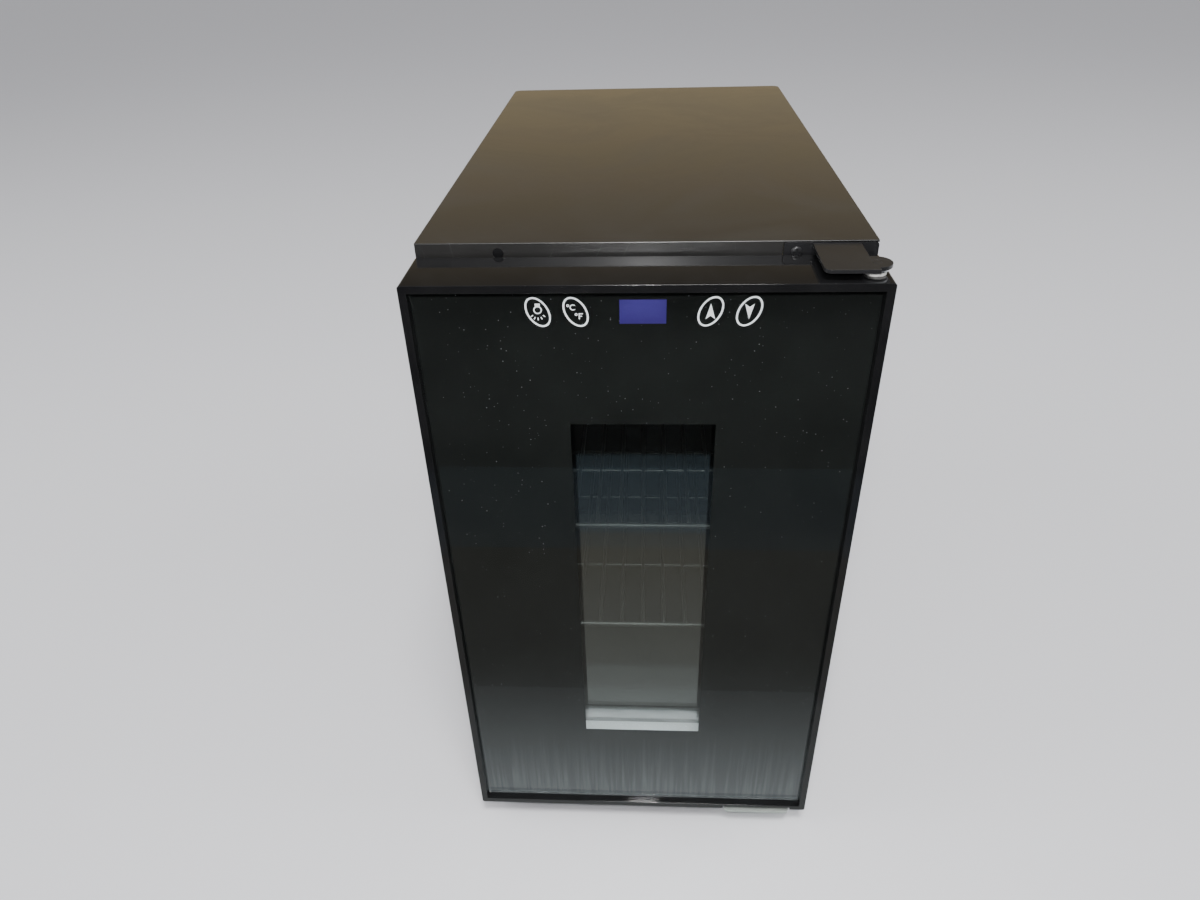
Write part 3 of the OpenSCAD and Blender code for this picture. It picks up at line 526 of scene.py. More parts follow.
@dataclass(frozen=True)
class Span:
    """The box of a CAD node, with short names for its corners and sizes."""

    low: Vector
    high: Vector

    @classmethod
    def of(cls, node: str) -> "Span":
        """The box of a CAD node."""
        return cls(*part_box(node))

    @property
    def mid(self) -> Vector:
        """The box's centre."""
        return (self.low + self.high) / 2

    @property
    def size(self) -> Vector:
        """The box's lengths."""
        return self.high - self.low


def make_object(name: str, mesh: bpy.types.Mesh) -> Piece:
    """Makes an object at the origin and links it to the scene."""
    made = bpy.data.objects.new(name, mesh)
    bpy.context.scene.collection.objects.link(made)
    return made


def shade(mesh: bpy.types.Mesh, angle: float = 35.0) -> None:
    """Shades a mesh smooth, apart from edges sharper than an angle in degrees."""
    mesh.shade_smooth()
    mesh.set_sharp_from_angle(angle=math.radians(angle))


def finish_mesh(name: str, shape: Shape, angle: float = 35.0) -> Piece:
    """Turns a shape into a smooth-shaded object.

    Args:
        name: The object's name.
        shape: The shape, which is freed.
        angle: Edges sharper than this many degrees stay sharp.

    Returns:
        The new object.
    """
    mesh = bpy.data.meshes.new(name)
    shape.to_mesh(mesh)
    shape.free()
    shade(mesh, angle)
    return make_object(name, mesh)


def evaluated(name: str, carrier: Piece) -> Piece:
    """Bakes an object's modifiers into a plain mesh on a new object and removes the carrier."""
    graph = bpy.context.evaluated_depsgraph_get()
    mesh = bpy.data.meshes.new_from_object(carrier.evaluated_get(graph))
    mesh.name = name
    bpy.data.objects.remove(carrier)
    return make_object(name, mesh)


def welded(source: Piece, whole: bool = True) -> Shape:
    """Copies a CAD node's mesh with its corners joined.

    Args:
        source: The CAD node, which is left alone.
        whole: Whether each flat face becomes one face.

    Returns:
        The shape.
    """
    shape = bmesh.new()
    shape.from_mesh(source.data)
    bmesh.ops.remove_doubles(shape, verts=shape.verts, dist=WELD)
    if whole:
        bmesh.ops.dissolve_limit(shape, angle_limit=math.radians(0.5), verts=shape.verts, edges=shape.edges)
    return shape


def rounded(name: str, shape: Shape, width: float, segments: int = 2, clamp: bool = True) -> Piece:
    """Rounds the sharp edges of a shape and keeps its flat faces optically flat.

    Args:
        name: The new object's name.
        shape: The shape, which is freed.
        width: Width of the rounding.
        segments: Faces across the rounding.
        clamp: Whether the width gives way to edges that are close together.

    Returns:
        The rounded object.
    """
    mesh = bpy.data.meshes.new(name)
    shape.to_mesh(mesh)
    shape.free()
    mesh.shade_smooth()
    carrier = make_object(name + "_carrier", mesh)
    bevel = carrier.modifiers.new("round", "BEVEL")
    bevel.width = width
    bevel.segments = segments
    bevel.limit_method = "ANGLE"
    bevel.angle_limit = math.radians(40)
    bevel.use_clamp_overlap = clamp
    flat = carrier.modifiers.new("flat", "WEIGHTED_NORMAL")
    flat.mode = "FACE_AREA"
    flat.weight = 100
    flat.keep_sharp = True
    return evaluated(name, carrier)


def shifted(name: str, source: Piece, offset: Point) -> Piece:
    """Copies a CAD node to a place a hair away, so that no two faces share a plane."""
    shape = welded(source, whole=False)
    bmesh.ops.translate(shape, verts=shape.verts, vec=offset)
    return finish_mesh(name, shape)


def merged(name: str, pieces: Sequence[Piece]) -> Piece:
    """Joins finished pieces at the origin into one object and removes them."""
    shape = bmesh.new()
    for piece in pieces:
        shape.from_mesh(piece.data)
        bpy.data.objects.remove(piece)
    return finish_mesh(name, shape)


def skin(shape: Shape, rings: Sequence[Sequence[Any]]) -> None:
    """Joins each closed ring of points to the next by faces.

    Args:
        shape: The shape that gets the faces.
        rings: The rings in order; one of a single point is a pole.
    """
    for first, second in zip(rings, rings[1:]):
        count = max(len(first), len(second))
        for k in range(count):
            after = (k + 1) % count
            corners = (first[k % len(first)], first[after % len(first)],
                       second[after % len(second)], second[k % len(second)])
            shape.faces.new(list(dict.fromkeys(corners)))


def lathed(name: str, profile: Profile, center: Vector, steps: int = 48) -> Piece:
    """Turns a profile about an axis along Y.

    Args:
        name: The object's name.
        profile: Radius and place along Y, from the axis at one end to the axis at the other.
        center: A point on the axis, from which the places along Y count.
        steps: Faces round the axis.

    Returns:
        The turned object.
    """
    shape = bmesh.new()
    rings = []
    for radius, y in profile:
        turns = (2 * math.pi * k / steps for k in range(steps if radius else 1))
        rings.append([shape.verts.new(center + Vector((radius * math.cos(a), y, radius * math.sin(a))))
                      for a in turns])
    skin(shape, rings)
    bmesh.ops.recalc_face_normals(shape, faces=shape.faces)
    return finish_mesh(name, shape)


def swept_frame(name: str, profile: Profile, width: float, height: float, start: Vector) -> Piece:
    """Sweeps a closed profile round an upright rectangle with mitred corners.

    Args:
        name: The object's name.
        profile: Distance outwards from the rectangle and place along Y, in order round the profile.
        width: Width of the rectangle.
        height: Height of the rectangle.
        start: Middle of the rectangle.

    Returns:
        The swept frame.
    """
    shape = bmesh.new()
    rings = [
        [shape.verts.new(start + Vector((sx * (width / 2 + out), y, sz * (height / 2 + out))))
         for out, y in profile]
        for sx, sz in ((-1, -1), (1, -1), (1, 1), (-1, 1))
    ]
    skin(shape, rings + rings[:1])
    bmesh.ops.recalc_face_normals(shape, faces=shape.faces)
    return finish_mesh(name, shape, 28.0)


class Recipe:
    """A Geometry Nodes tree with named inputs, whose result is turned into a plain mesh."""

    KINDS = {
        float: "NodeSocketFloat", int: "NodeSocketInt", Vector: "NodeSocketVector", Piece: "NodeSocketObject",
    }

    def __init__(self, name: str, inputs: dict[str, type]) -> None:
        """Makes the empty tree.

        Args:
            name: The tree's name.
            inputs: Input name to the kind of value it takes.
        """
        self.tree = bpy.data.node_groups.new(name, "GeometryNodeTree")
        face = self.tree.interface
        face.new_socket("Geometry", in_out="INPUT", socket_type="NodeSocketGeometry")
        for key, kind in inputs.items():
            face.new_socket(key, in_out="INPUT", socket_type=self.KINDS[kind])
        face.new_socket("Finish", in_out="INPUT", socket_type="NodeSocketMaterial")
        face.new_socket("Geometry", in_out="OUTPUT", socket_type="NodeSocketGeometry")
        self.given = self.tree.nodes.new("NodeGroupInput").outputs
        self.exit = self.tree.nodes.new("NodeGroupOutput")

    def add(self, kind: str, feeds: dict[Any, Any] | None = None, **settings: Any) -> Any:
        """Adds a node to the tree and returns its first output."""
        return add_node(self.tree, "GeometryNode" + kind, feeds, **settings).outputs[0]

    def math(self, operation: str, *values: Any) -> Any:
        """Adds a Math node to the tree and returns its result."""
        return math_node(self.tree, operation, *values)

    def vector(self, **places: Any) -> Any:
        """Joins numbers or sockets for x, y and z into a vector."""
        return vector(self.tree, **places)

    def piece(self) -> Any:
        """Gives the faces of the object that the tree gets."""
        made = add_node(self.tree, "GeometryNodeObjectInfo", {"Object": self.given["Piece"]})
        return made.outputs["Geometry"]

    def tube(self, curve: Any, radius: Any) -> Any:
        """Sweeps a round section along a curve and closes its ends."""
        section = self.add("CurvePrimitiveCircle", {"Resolution": 12, "Radius": radius})
        return self.add("CurveToMesh", {"Curve": curve, "Profile Curve": section, "Fill Caps": True})

    def line(self, count: Any, start: Any, step: Any) -> Any:
        """Sets points along a straight line."""
        return self.add("MeshLine", {"Count": count, "Start Location": start, "Offset": step}, mode="OFFSET")

    def row(self, piece: Any, count: Any, start: Any, step: Any) -> Any:
        """Sets copies of a piece along a straight line."""
        return self.add("InstanceOnPoints", {"Points": self.line(count, start, step), "Instance": piece})

    def joined(self, *parts: Any) -> Any:
        """Joins parts into one."""
        join = self.tree.nodes.new("GeometryNodeJoinGeometry")
        for part in parts:
            self.tree.links.new(part, join.inputs[0])
        return join.outputs[0]

    def close(self, whole: Any) -> "Recipe":
        """Turns instances into faces, sets their finish and ends the tree."""
        real = self.add("RealizeInstances", {0: whole})
        done = self.add("SetMaterial", {"Geometry": real, "Material": self.given["Finish"]})
        self.tree.links.new(done, self.exit.inputs[0])
        return self

    def make(self, name: str, finish: Material, **values: Any) -> Piece:
        """Runs the tree once.

        Args:
            name: Name of the new object.
            finish: Its material.
            **values: Values of the tree's named inputs, with _ for a space.

        Returns:
            The plain mesh object, at the origin.
        """
        carrier = make_object(name + "_carrier", bpy.data.meshes.new(name + "_carrier"))
        modifier = carrier.modifiers.new("recipe", "NODES")
        modifier.node_group = self.tree
        wanted = {key.replace("_", " ").capitalize(): value for key, value in values.items()}
        wanted["Finish"] = finish
        for socket in self.tree.interface.items_tree:
            if socket.item_type == "SOCKET" and socket.in_out == "INPUT" and socket.name in wanted:
                modifier[socket.identifier] = wanted[socket.name]
        made = evaluated(name, carrier)
        shade(made.data, 32.0)
        return made


class Recipes:
    """The trees that make what repeats on the cooler."""

    def __init__(self) -> None:
        """Builds the trees."""
        self.row = self._row()
        self.ring = self._ring()
        self.rack = self._rack()
        self.coils = self._coils()

    def _row(self) -> Recipe:
        """Copies of one piece along a line, such as dimples or screws."""
        recipe = Recipe("row_of_pieces", {"Piece": Piece, "Count": int, "Start": Vector, "Step": Vector})
        given = recipe.given
        return recipe.close(recipe.row(recipe.piece(), given["Count"], given["Start"], given["Step"]))

    def _ring(self) -> Recipe:
        """Copies of one piece round an axis along Y, such as fan blades."""
        recipe = Recipe("ring_of_pieces", {"Piece": Piece, "Count": int, "Middle": Vector})
        count = recipe.given["Count"]
        points = recipe.line(count, recipe.given["Middle"], (0.0, 0.0, 0.0))
        share = recipe.math("DIVIDE", recipe.add("InputIndex"), count)
        angle = recipe.math("MULTIPLY", share, 2 * math.pi)
        turn = add_node(recipe.tree, "FunctionNodeEulerToRotation", {0: recipe.vector(y=angle)}).outputs[0]
        return recipe.close(recipe.add(
            "InstanceOnPoints", {"Points": points, "Instance": recipe.piece(), "Rotation": turn}))

    def _rack(self) -> Recipe:
        """A wire rack: a bent frame, the wires that hold the bottles and the cross wires under them."""
        lengths = ("Width", "Depth", "Bend", "Frame radius", "Wire radius", "First wire", "Cross",
                   "Cross drop")
        recipe = Recipe("wire_rack", dict.fromkeys(lengths, float) | {"Wires": int, "Middle": Vector})
        given, times = recipe.given, partial(recipe.math, "MULTIPLY")
        outline = recipe.add("CurvePrimitiveQuadrilateral",
                             {"Width": given["Width"], "Height": given["Depth"]})
        bent = recipe.add("FilletCurve", {"Curve": outline, "Count": 8, "Radius": given["Bend"]}, mode="POLY")
        frame = recipe.tube(bent, given["Frame radius"])
        reach = times(given["Depth"], 0.5)
        line = recipe.add("CurvePrimitiveLine",
                          {"Start": recipe.vector(y=times(reach, -1.0)), "End": recipe.vector(y=reach)})
        start = recipe.math("SUBTRACT", given["First wire"], times(given["Width"], 0.5))
        step = recipe.math("DIVIDE", times(start, -2.0), recipe.math("SUBTRACT", given["Wires"], 1.0))
        wires = recipe.row(recipe.tube(line, given["Wire radius"]), given["Wires"], recipe.vector(x=start),
                           recipe.vector(x=step))
        rod = recipe.add("CurvePrimitiveLine",
                         {"Start": recipe.vector(x=times(given["Cross"], -1.0)),
                          "End": recipe.vector(x=given["Cross"])})
        first = recipe.vector(y=times(given["Depth"], -0.2), z=times(given["Cross drop"], -1.0))
        rods = recipe.row(recipe.tube(rod, given["Wire radius"]), 2, first,
                          recipe.vector(y=times(given["Depth"], 0.4)))
        whole = recipe.joined(frame, wires, rods)
        return recipe.close(recipe.add("Transform", {"Geometry": whole, "Translation": given["Middle"]}))

    def _coils(self) -> Recipe:
        """Touch springs in a row: coils of wire that press on the back of the glass."""
        lengths = ("Radius", "Wire", "Length", "Turns")
        recipe = Recipe("touch_coils", dict.fromkeys(lengths, float) | {"Start": Vector, "Step": Vector})
        given = recipe.given
        spiral = recipe.add("CurveSpiral", {
            "Resolution": 24, "Rotations": given["Turns"], "Start Radius": given["Radius"],
            "End Radius": given["Radius"], "Height": given["Length"]})
        coil = recipe.tube(spiral, given["Wire"])
        lying = recipe.add("Transform", {"Geometry": coil, "Rotation": (-math.pi / 2, 0.0, 0.0)})
        return recipe.close(recipe.row(lying, 2, given["Start"], given["Step"]))


# ------------------------------------------------------------------------------------------ workshop


class Workshop:
    """Hands out finishes, hooks pieces to bodies and reports each one."""

    def __init__(self, frame: dict[str, Any]) -> None:
        self.nodes: dict[str, Piece] = frame["nodes"]
        self.effects = SharedEffects()
        self.recipes = Recipes()
        self.slots = {row["node"]: row["material_slot"] for row in frame["record"]["subparts"]}

    def coat(self, piece: Piece, finish: Finish) -> Piece:
        """Gives a whole piece one finish."""
        piece.data.materials.clear()
        piece.data.materials.append(finish.build(self.effects))
        return piece

    def keep(self, node: str, finish: Finish) -> None:
        """Shows a CAD node as it is, with a better finish."""
        self.coat(self.nodes[node], finish)
        LOG.info("kept %s in %s", node, finish.name)

    def place(self, piece: Piece, body: Body, finish: Finish, *replaced: str) -> Piece:
        """Hooks a finished piece to its body.

        Args:
            piece: The piece, at the origin.
            body: The body it rides on.
            finish: Its finish.
            *replaced: CAD nodes it stands for.

        Returns:
            The piece.
        """
        self.coat(piece, finish)
        if replaced:
            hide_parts(*replaced)
        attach(piece, body.value)
        LOG.info("made %s on %s: %d faces", piece.name, body.value, len(piece.data.polygons))
        return piece

    def repeat(self, name: str, piece: Piece, finish: Finish, count: int, start: Vector,
               step: Vector) -> Piece:
        """Sets copies of a piece along a line and removes the piece.

        Args:
            name: Name of the new object.
            piece: The piece, modelled about the origin.
            finish: The finish of the copies.
            count: How many there are.
            start: Place of the first.
            step: From each to the next.

        Returns:
            The copies as one mesh.
        """
        made = self.recipes.row.make(name, finish.build(self.effects), piece=piece, count=count, start=start,
                                     step=step)
        bpy.data.objects.remove(piece)
        return made

    def soften(self, body: Body, *rows: tuple[Any, ...]) -> None:
        """Replaces CAD nodes by copies with rounded edges.

        Args:
            body: The body they ride on.
            *rows: For each, its name, the CAD node, its finish, the rounding's width in millimetres, and
                how many faces the rounding has where it isn't two.
        """
        for name, node, finish, width, *segments in rows:
            self.place(rounded(name, welded(self.nodes[node]), width * MM, *segments), body, finish, node)


# ------------------------------------------------------------------------------------------- cabinet


@dataclass
class Screws:
    """Pan-head screws with a cross recess, turned about Y.

    Attributes:
        head: Radius of the head.
        rise: Height of the head.
        shank: Radius of the thread.
        length: Length below the head.
        slot: Half of the width of the recess's arms.
    """

    head: float = 3.3 * MM
    rise: float = 1.9 * MM
    shank: float = 1.9 * MM
    length: float = 12.0 * MM
    slot: float = 0.75 * MM

    def build(self, name: str, facing: float) -> Piece:
        """Makes one screw about the origin, its head towards +Y or -Y as facing says.

        Args:
            name: The object's name.
            facing: 1.0 for a head towards +Y, -1.0 for one towards -Y.

        Returns:
            The screw.
        """
        profile = [(0.0, -self.length), (self.shank * 0.6, -self.length), (self.shank, -self.length * 0.9),
                   (self.shank, 0.0), (self.head, 0.0), (self.head, self.rise * 0.35)]
        profile += [(self.head * math.cos(a), self.rise * (0.35 + 0.65 * math.sin(a)))
                    for a in (math.radians(d) for d in (18, 36, 54, 70))]
        profile.append((0.0, self.rise))
        body = lathed(name + "_blank", [(r, y * facing) for r, y in profile], Vector(), 28)
        cutter = bmesh.new()
        for across, along in ((self.slot, self.head * 0.68), (self.head * 0.68, self.slot)):
            cube = bmesh.ops.create_cube(cutter, size=2.0)
            bmesh.ops.scale(cutter, verts=cube["verts"], vec=(across, self.rise * 0.6, along))
            bmesh.ops.translate(cutter, verts=cube["verts"], vec=(0.0, facing * self.rise * 1.05, 0.0))
        tool = finish_mesh(name + "_cutter", cutter)
        recess = body.modifiers.new("recess", "BOOLEAN")
        recess.operation = "DIFFERENCE"
        recess.object = tool
        recess.solver = "EXACT"
        recess.use_self = True
        made = evaluated(name, body)
        bpy.data.objects.remove(tool)
        shade(made.data)
        return made


@dataclass
class Cabinet:
    """Sheet-metal case, base, back, feet and foam.

    Attributes:
        rim: Radius of the wrap's front fold.
        fold: Radius of its other edges.
        screw_inset: Distance from the back panel's edges to its screws.
        screw_rows: How many screws each side has.
        screw: The back panel's screw.
    """

    shop: Workshop
    rim: float = 0.48 * MM
    fold: float = 0.2 * MM
    screw_inset: float = 9.0 * MM
    screw_rows: int = 4
    screw: Screws = field(default_factory=lambda: Screws(head=3.0 * MM, rise=1.6 * MM, length=8.0 * MM))

    def build(self) -> None:
        """Builds and dresses the case."""
        self.wrap()
        self.shop.keep("cabinet_foam", Finishes.FOAM)
        self.shop.soften(
            Body.CABINET,
            ("case_base", "base_pan", Finishes.DARK_STEEL, 0.2),
            ("case_back", "rear_panel", Finishes.DARK_STEEL, 0.15),
            ("spare_hole_plug", "hole_plug", Finishes.BEZEL, 0.3),
            ("rubber_feet", "feet", Finishes.RUBBER, 1.0, 3),
            ("feet_screws", "foot_screws", Finishes.ZINC, 0.4),
        )
        self.back_screws()

    def wrap(self) -> None:
        """Rounds the wrap's front fold to the radius that bent sheet has, and its other edges less."""
        span = Span.of("outer_wrap")
        shape = welded(self.shop.nodes["outer_wrap"])

        def outside(corner: Vector) -> bool:
            """Whether a corner lies on the front of the wrap and on its top or a side."""
            near = 0.01 * MM
            over = abs(corner.z - span.high.z) < near
            beside = min(abs(corner.x - span.low.x), abs(corner.x - span.high.x)) < near
            return abs(corner.y - span.low.y) < near and (over or beside)

        rim = [edge for edge in shape.edges if all(outside(vert.co) for vert in edge.verts)]
        bmesh.ops.bevel(shape, geom=rim, offset=self.rim, segments=5, profile=0.5, affect="EDGES")
        made = rounded("case_wrap", shape, self.fold, clamp=False)
        for vert in made.data.vertices:
            vert.co.x = min(max(vert.co.x, span.low.x), span.high.x)
        self.shop.place(made, Body.CABINET, Finishes.WRAP, "outer_wrap")

    def back_screws(self) -> None:
        """Sets a column of screws down each side of the back panel."""
        span = Span.of("rear_panel")
        step = (span.size.z - 2 * self.screw_inset) / (self.screw_rows - 1)
        columns = []
        for k, side in enumerate((-1, 1)):
            start = Vector((side * (span.size.x / 2 - self.screw_inset), span.high.y,
                            span.low.z + self.screw_inset))
            columns.append(self.shop.repeat(f"back_screws_{k}", self.screw.build(f"back_screw_{k}", 1.0),
                                            Finishes.ZINC, self.screw_rows, start, Vector((0.0, 0.0, step))))
        screws = self.shop.place(merged("back_panel_screws", columns), Body.CABINET, Finishes.ZINC)


@dataclass
class Hinges:
    """Both hinge brackets with their pins, bushes, washer and screws."""

    shop: Workshop
    screw: Screws = field(default_factory=lambda: Screws(rise=1.2 * MM, head=3.3 * MM))

    def build(self) -> None:
        """Builds and dresses the hinges."""
        self.shop.soften(
            Body.CABINET,
            ("upper_bracket", "top_hinge_bracket", Finishes.BRACKET, 0.55, 3),
            ("lower_bracket", "lower_hinge_bracket", Finishes.PLATE, 0.45, 3),
            ("upper_pin", "top_hinge_pin", Finishes.BRACKET, 0.25),
            ("lower_pin", "lower_hinge_pin", Finishes.ZINC, 0.25),
            ("bright_washer", "hinge_washer", Finishes.ZINC, 0.25),
        )
        self.shop.soften(Body.DOOR, ("upper_bush", "top_bush", Finishes.WHITE, 0.15))
        self.shop.keep("lower_bush", Finishes.WHITE)
        self.screws("upper_screws", "top_hinge_screws", Finishes.BRACKET)
        self.screws("lower_screws", "lower_hinge_screws", Finishes.ZINC)

    def screws(self, name: str, node: str, finish: Finish) -> None:
        """Sets a pair of screws in a bracket's flange.

        Args:
            name: Name of the pair.
            node: The CAD node that the pair stands for.
            finish: The screws' finish.
        """
        span = Span.of(node)
        seat = Span.of("outer_wrap").low.y
        left = span.low.x + span.size.z / 2
        right = span.high.x - span.size.z / 2
        pair = self.shop.repeat(name, self.screw.build(name + "_one", -1.0), finish, 2,
                                Vector((left, seat, span.mid.z)), Vector((right - left, 0.0, 0.0)))
        self.shop.place(pair, Body.CABINET, finish, node)


@dataclass
class Door:
    """Bezel, glazing, print, controls, inner panel and gasket.

    Attributes:
        bury: How deep the print sits in the back of the glass, so that no two faces share a plane.
        dimple_pitch: Distance between the dimples along the spacer bar.
        dimple_row: Distance from the bar's middle to each row of dimples.
        dimple: Radius of a dimple.
        spacer_wall: Width of the spacer bar.
        icon_step: Distance from an inner icon to the outer one beside it.
        spring_wire: Radius of the touch springs' wire.
        spring_turns: Turns of a touch spring.
        seal_width: Width of the magnetic seal.
    """

    shop: Workshop
    bury: float = 0.03 * MM
    dimple_pitch: float = 4.4 * MM
    dimple_row: float = 2.6 * MM
    dimple: float = 0.75 * MM
    spacer_wall: float = 8.0 * MM
    icon_step: float = 20.0 * MM
    spring_wire: float = 0.3 * MM
    spring_turns: float = 6.0
    seal_width: float = 11.0 * MM

    def build(self) -> None:
        """Builds and dresses the door."""
        self.shop.soften(
            Body.DOOR,
            ("door_bezel", "door_frame", Finishes.BEZEL, 0.7, 4),
            ("front_pane", "front_glass", Finishes.GLASS, 0.4),
            ("back_pane", "inner_pane", Finishes.COATED_GLASS, 0.4),
            ("door_back", "door_liner", Finishes.LINER, 0.5, 3),
        )
        self.shop.keep("control_board", Finishes.BOARD)
        self.shop.keep("door_foam", Finishes.FOAM)
        self.print()
        self.spacer()
        self.springs()
        self.gasket()

    def print(self) -> None:
        """Sets the enamel, the icons and the display in the back of the glass."""
        back = Span.of("front_glass").high.y
        for name, node, depth, finish in (
            ("enamel", "ink_mask", self.bury, Finishes.INK),
            ("icons", "touch_icons", 2 * self.bury, Finishes.ICON),
            ("display", "display_module", self.bury, Finishes.DISPLAY),
        ):
            offset = back - Span.of(node).low.y - depth
            self.shop.place(shifted(name, self.shop.nodes[node], (0.0, offset, 0.0)), Body.DOOR, finish, node)

    def spacer(self) -> None:
        """Builds the spacer bar, and two rows of punched dimples along each of its sides."""
        self.shop.soften(Body.DOOR, ("spacer_bar", "spacer_frame", Finishes.SPACER, 0.3))
        span = Span.of("spacer_frame")
        half_w, half_h = span.size.x / 2 - self.spacer_wall, span.size.z / 2 - self.spacer_wall
        parts = []
        for name, normal, half, reach in (
            ("low", Vector((0, 0, 1)), half_h, half_w), ("high", Vector((0, 0, -1)), half_h, half_w),
            ("left", Vector((1, 0, 0)), half_w, half_h), ("right", Vector((-1, 0, 0)), half_w, half_h),
        ):
            along = Vector((0, 1, 0)).cross(normal)
            count = int(2 * reach / self.dimple_pitch)
            for row in (-1, 1):
                start = span.mid - normal * half - along * (count - 1) * self.dimple_pitch / 2
                start.y += row * self.dimple_row
                parts.append(self.shop.repeat(f"dimples_{name}_{row}", self.blister(normal), Finishes.SPACER,
                                              count, start, along * self.dimple_pitch))
        dimples = self.shop.place(merged("spacer_dimples", parts), Body.DOOR, Finishes.SPACER)

    def blister(self, normal: Vector) -> Piece:
        """Makes one raised dimple about the origin that faces along a normal."""
        one = lathed("dimple", [(0.0, -0.2 * MM), (self.dimple, -0.2 * MM), (self.dimple, 0.05 * MM),
                                (self.dimple * 0.75, 0.3 * MM), (self.dimple * 0.4, 0.48 * MM),
                                (0.0, 0.54 * MM)], Vector(), 8)
        one.data.transform(normal.to_track_quat("Y", "X").to_matrix().to_4x4())
        return one

    def springs(self) -> None:
        """Builds the four touch springs behind the icons as two pairs of coils."""
        span = Span.of("touch_springs")
        outer = span.size.x / 2 - span.size.z / 2
        inner = outer - self.icon_step
        wire = self.spring_wire
        pairs = [
            self.shop.recipes.coils.make(
                f"touch_coils_{k}", Finishes.WOUND.build(self.shop.effects), radius=span.size.z / 2 - wire,
                wire=wire, length=span.size.y - 2 * wire, turns=self.spring_turns,
                start=Vector((-reach, span.low.y + wire, span.mid.z)), step=Vector((2 * reach, 0.0, 0.0)))
            for k, reach in enumerate((outer, inner))
        ]
        self.shop.place(merged("touch_coils", pairs), Body.DOOR, Finishes.WOUND, "touch_springs")

    def gasket(self) -> None:
        """Sweeps the magnetic seal with its bellows round the door's inner side."""
        span = Span.of("door_gasket")
        width, depth = self.seal_width, span.size.y
        shape = ((0.0, 0.0), (0.0, 0.22), (0.06, 0.34), (0.10, 0.52), (0.04, 0.70), (0.10, 0.90), (0.20, 1.0),
                 (0.52, 1.0), (0.58, 0.86), (0.64, 1.0), (0.82, 1.0), (0.92, 0.90), (0.96, 0.70),
                 (0.90, 0.52), (0.95, 0.34), (1.0, 0.22), (1.0, 0.0))
        profile = [(u * width, v * depth) for u, v in shape]
        made = swept_frame("door_seal", profile, span.size.x - 2 * width, span.size.z - 2 * width,
                           Vector((span.mid.x, span.low.y, span.mid.z)))
        self.shop.place(made, Body.DOOR, Finishes.GASKET, "door_gasket")


@dataclass
class Cavity:
    """Inner liner, air duct panel, lamp, sensor and the three wire racks.

    Attributes:
        frame_radius: Radius of a rack's frame wire.
        bend: Radius of the frame's corners.
        wire: Radius of the other wires.
        wires: How many wires hold the bottles.
        first_wire: Distance from the frame's side to the first of them.
        cross_drop: How far the cross wires lie under them.
        ledge: Width of the liner's ledge on each side.
    """

    shop: Workshop
    frame_radius: float = 2.0 * MM
    bend: float = 8.0 * MM
    wire: float = 1.4 * MM
    cross_drop: float = 2.2 * MM
    first_wire: float = 10.0 * MM
    wires: int = 11
    ledge: float = 10.0 * MM

    def build(self) -> None:
        """Builds and dresses the cavity."""
        self.shop.keep("lamp_board", Finishes.WHITE)
        self.shop.soften(
            Body.CABINET,
            ("cavity_liner", "inner_liner", Finishes.LINER, 0.6, 3),
            ("duct_panel", "inner_fan_cover", Finishes.DUCT, 0.5, 3),
            ("lamp_cover", "lamp_lens", Finishes.LENS, 0.5, 3),
            ("sensor_bead", "temperature_sensor", Finishes.WHITE, 1.0, 3),
        )
        for node, body in (("rack_lower", Body.LOWER_RACK), ("rack_middle", Body.MIDDLE_RACK),
                           ("rack_upper", Body.UPPER_RACK)):
            self.rack(node, body)

    def rack(self, node: str, body: Body) -> None:
        """Builds one wire rack in the CAD rack's place, on its own body."""
        span = Span.of(node)
        middle = Vector((span.mid.x, span.mid.y, span.high.z - self.frame_radius))
        around = 2 * self.frame_radius
        inside = Span.of("inner_fan_cover").size.x / 2 - self.ledge
        made = self.shop.recipes.rack.make(
            node.replace("rack_", "wire_rack_"), Finishes.WIRE.build(self.shop.effects),
            width=span.size.x - around, depth=span.size.y - around, bend=self.bend,
            frame_radius=self.frame_radius, wire_radius=self.wire, wires=self.wires,
            first_wire=self.first_wire, cross=inside, cross_drop=self.cross_drop, middle=middle)
        self.shop.place(made, body, Finishes.WIRE, node)


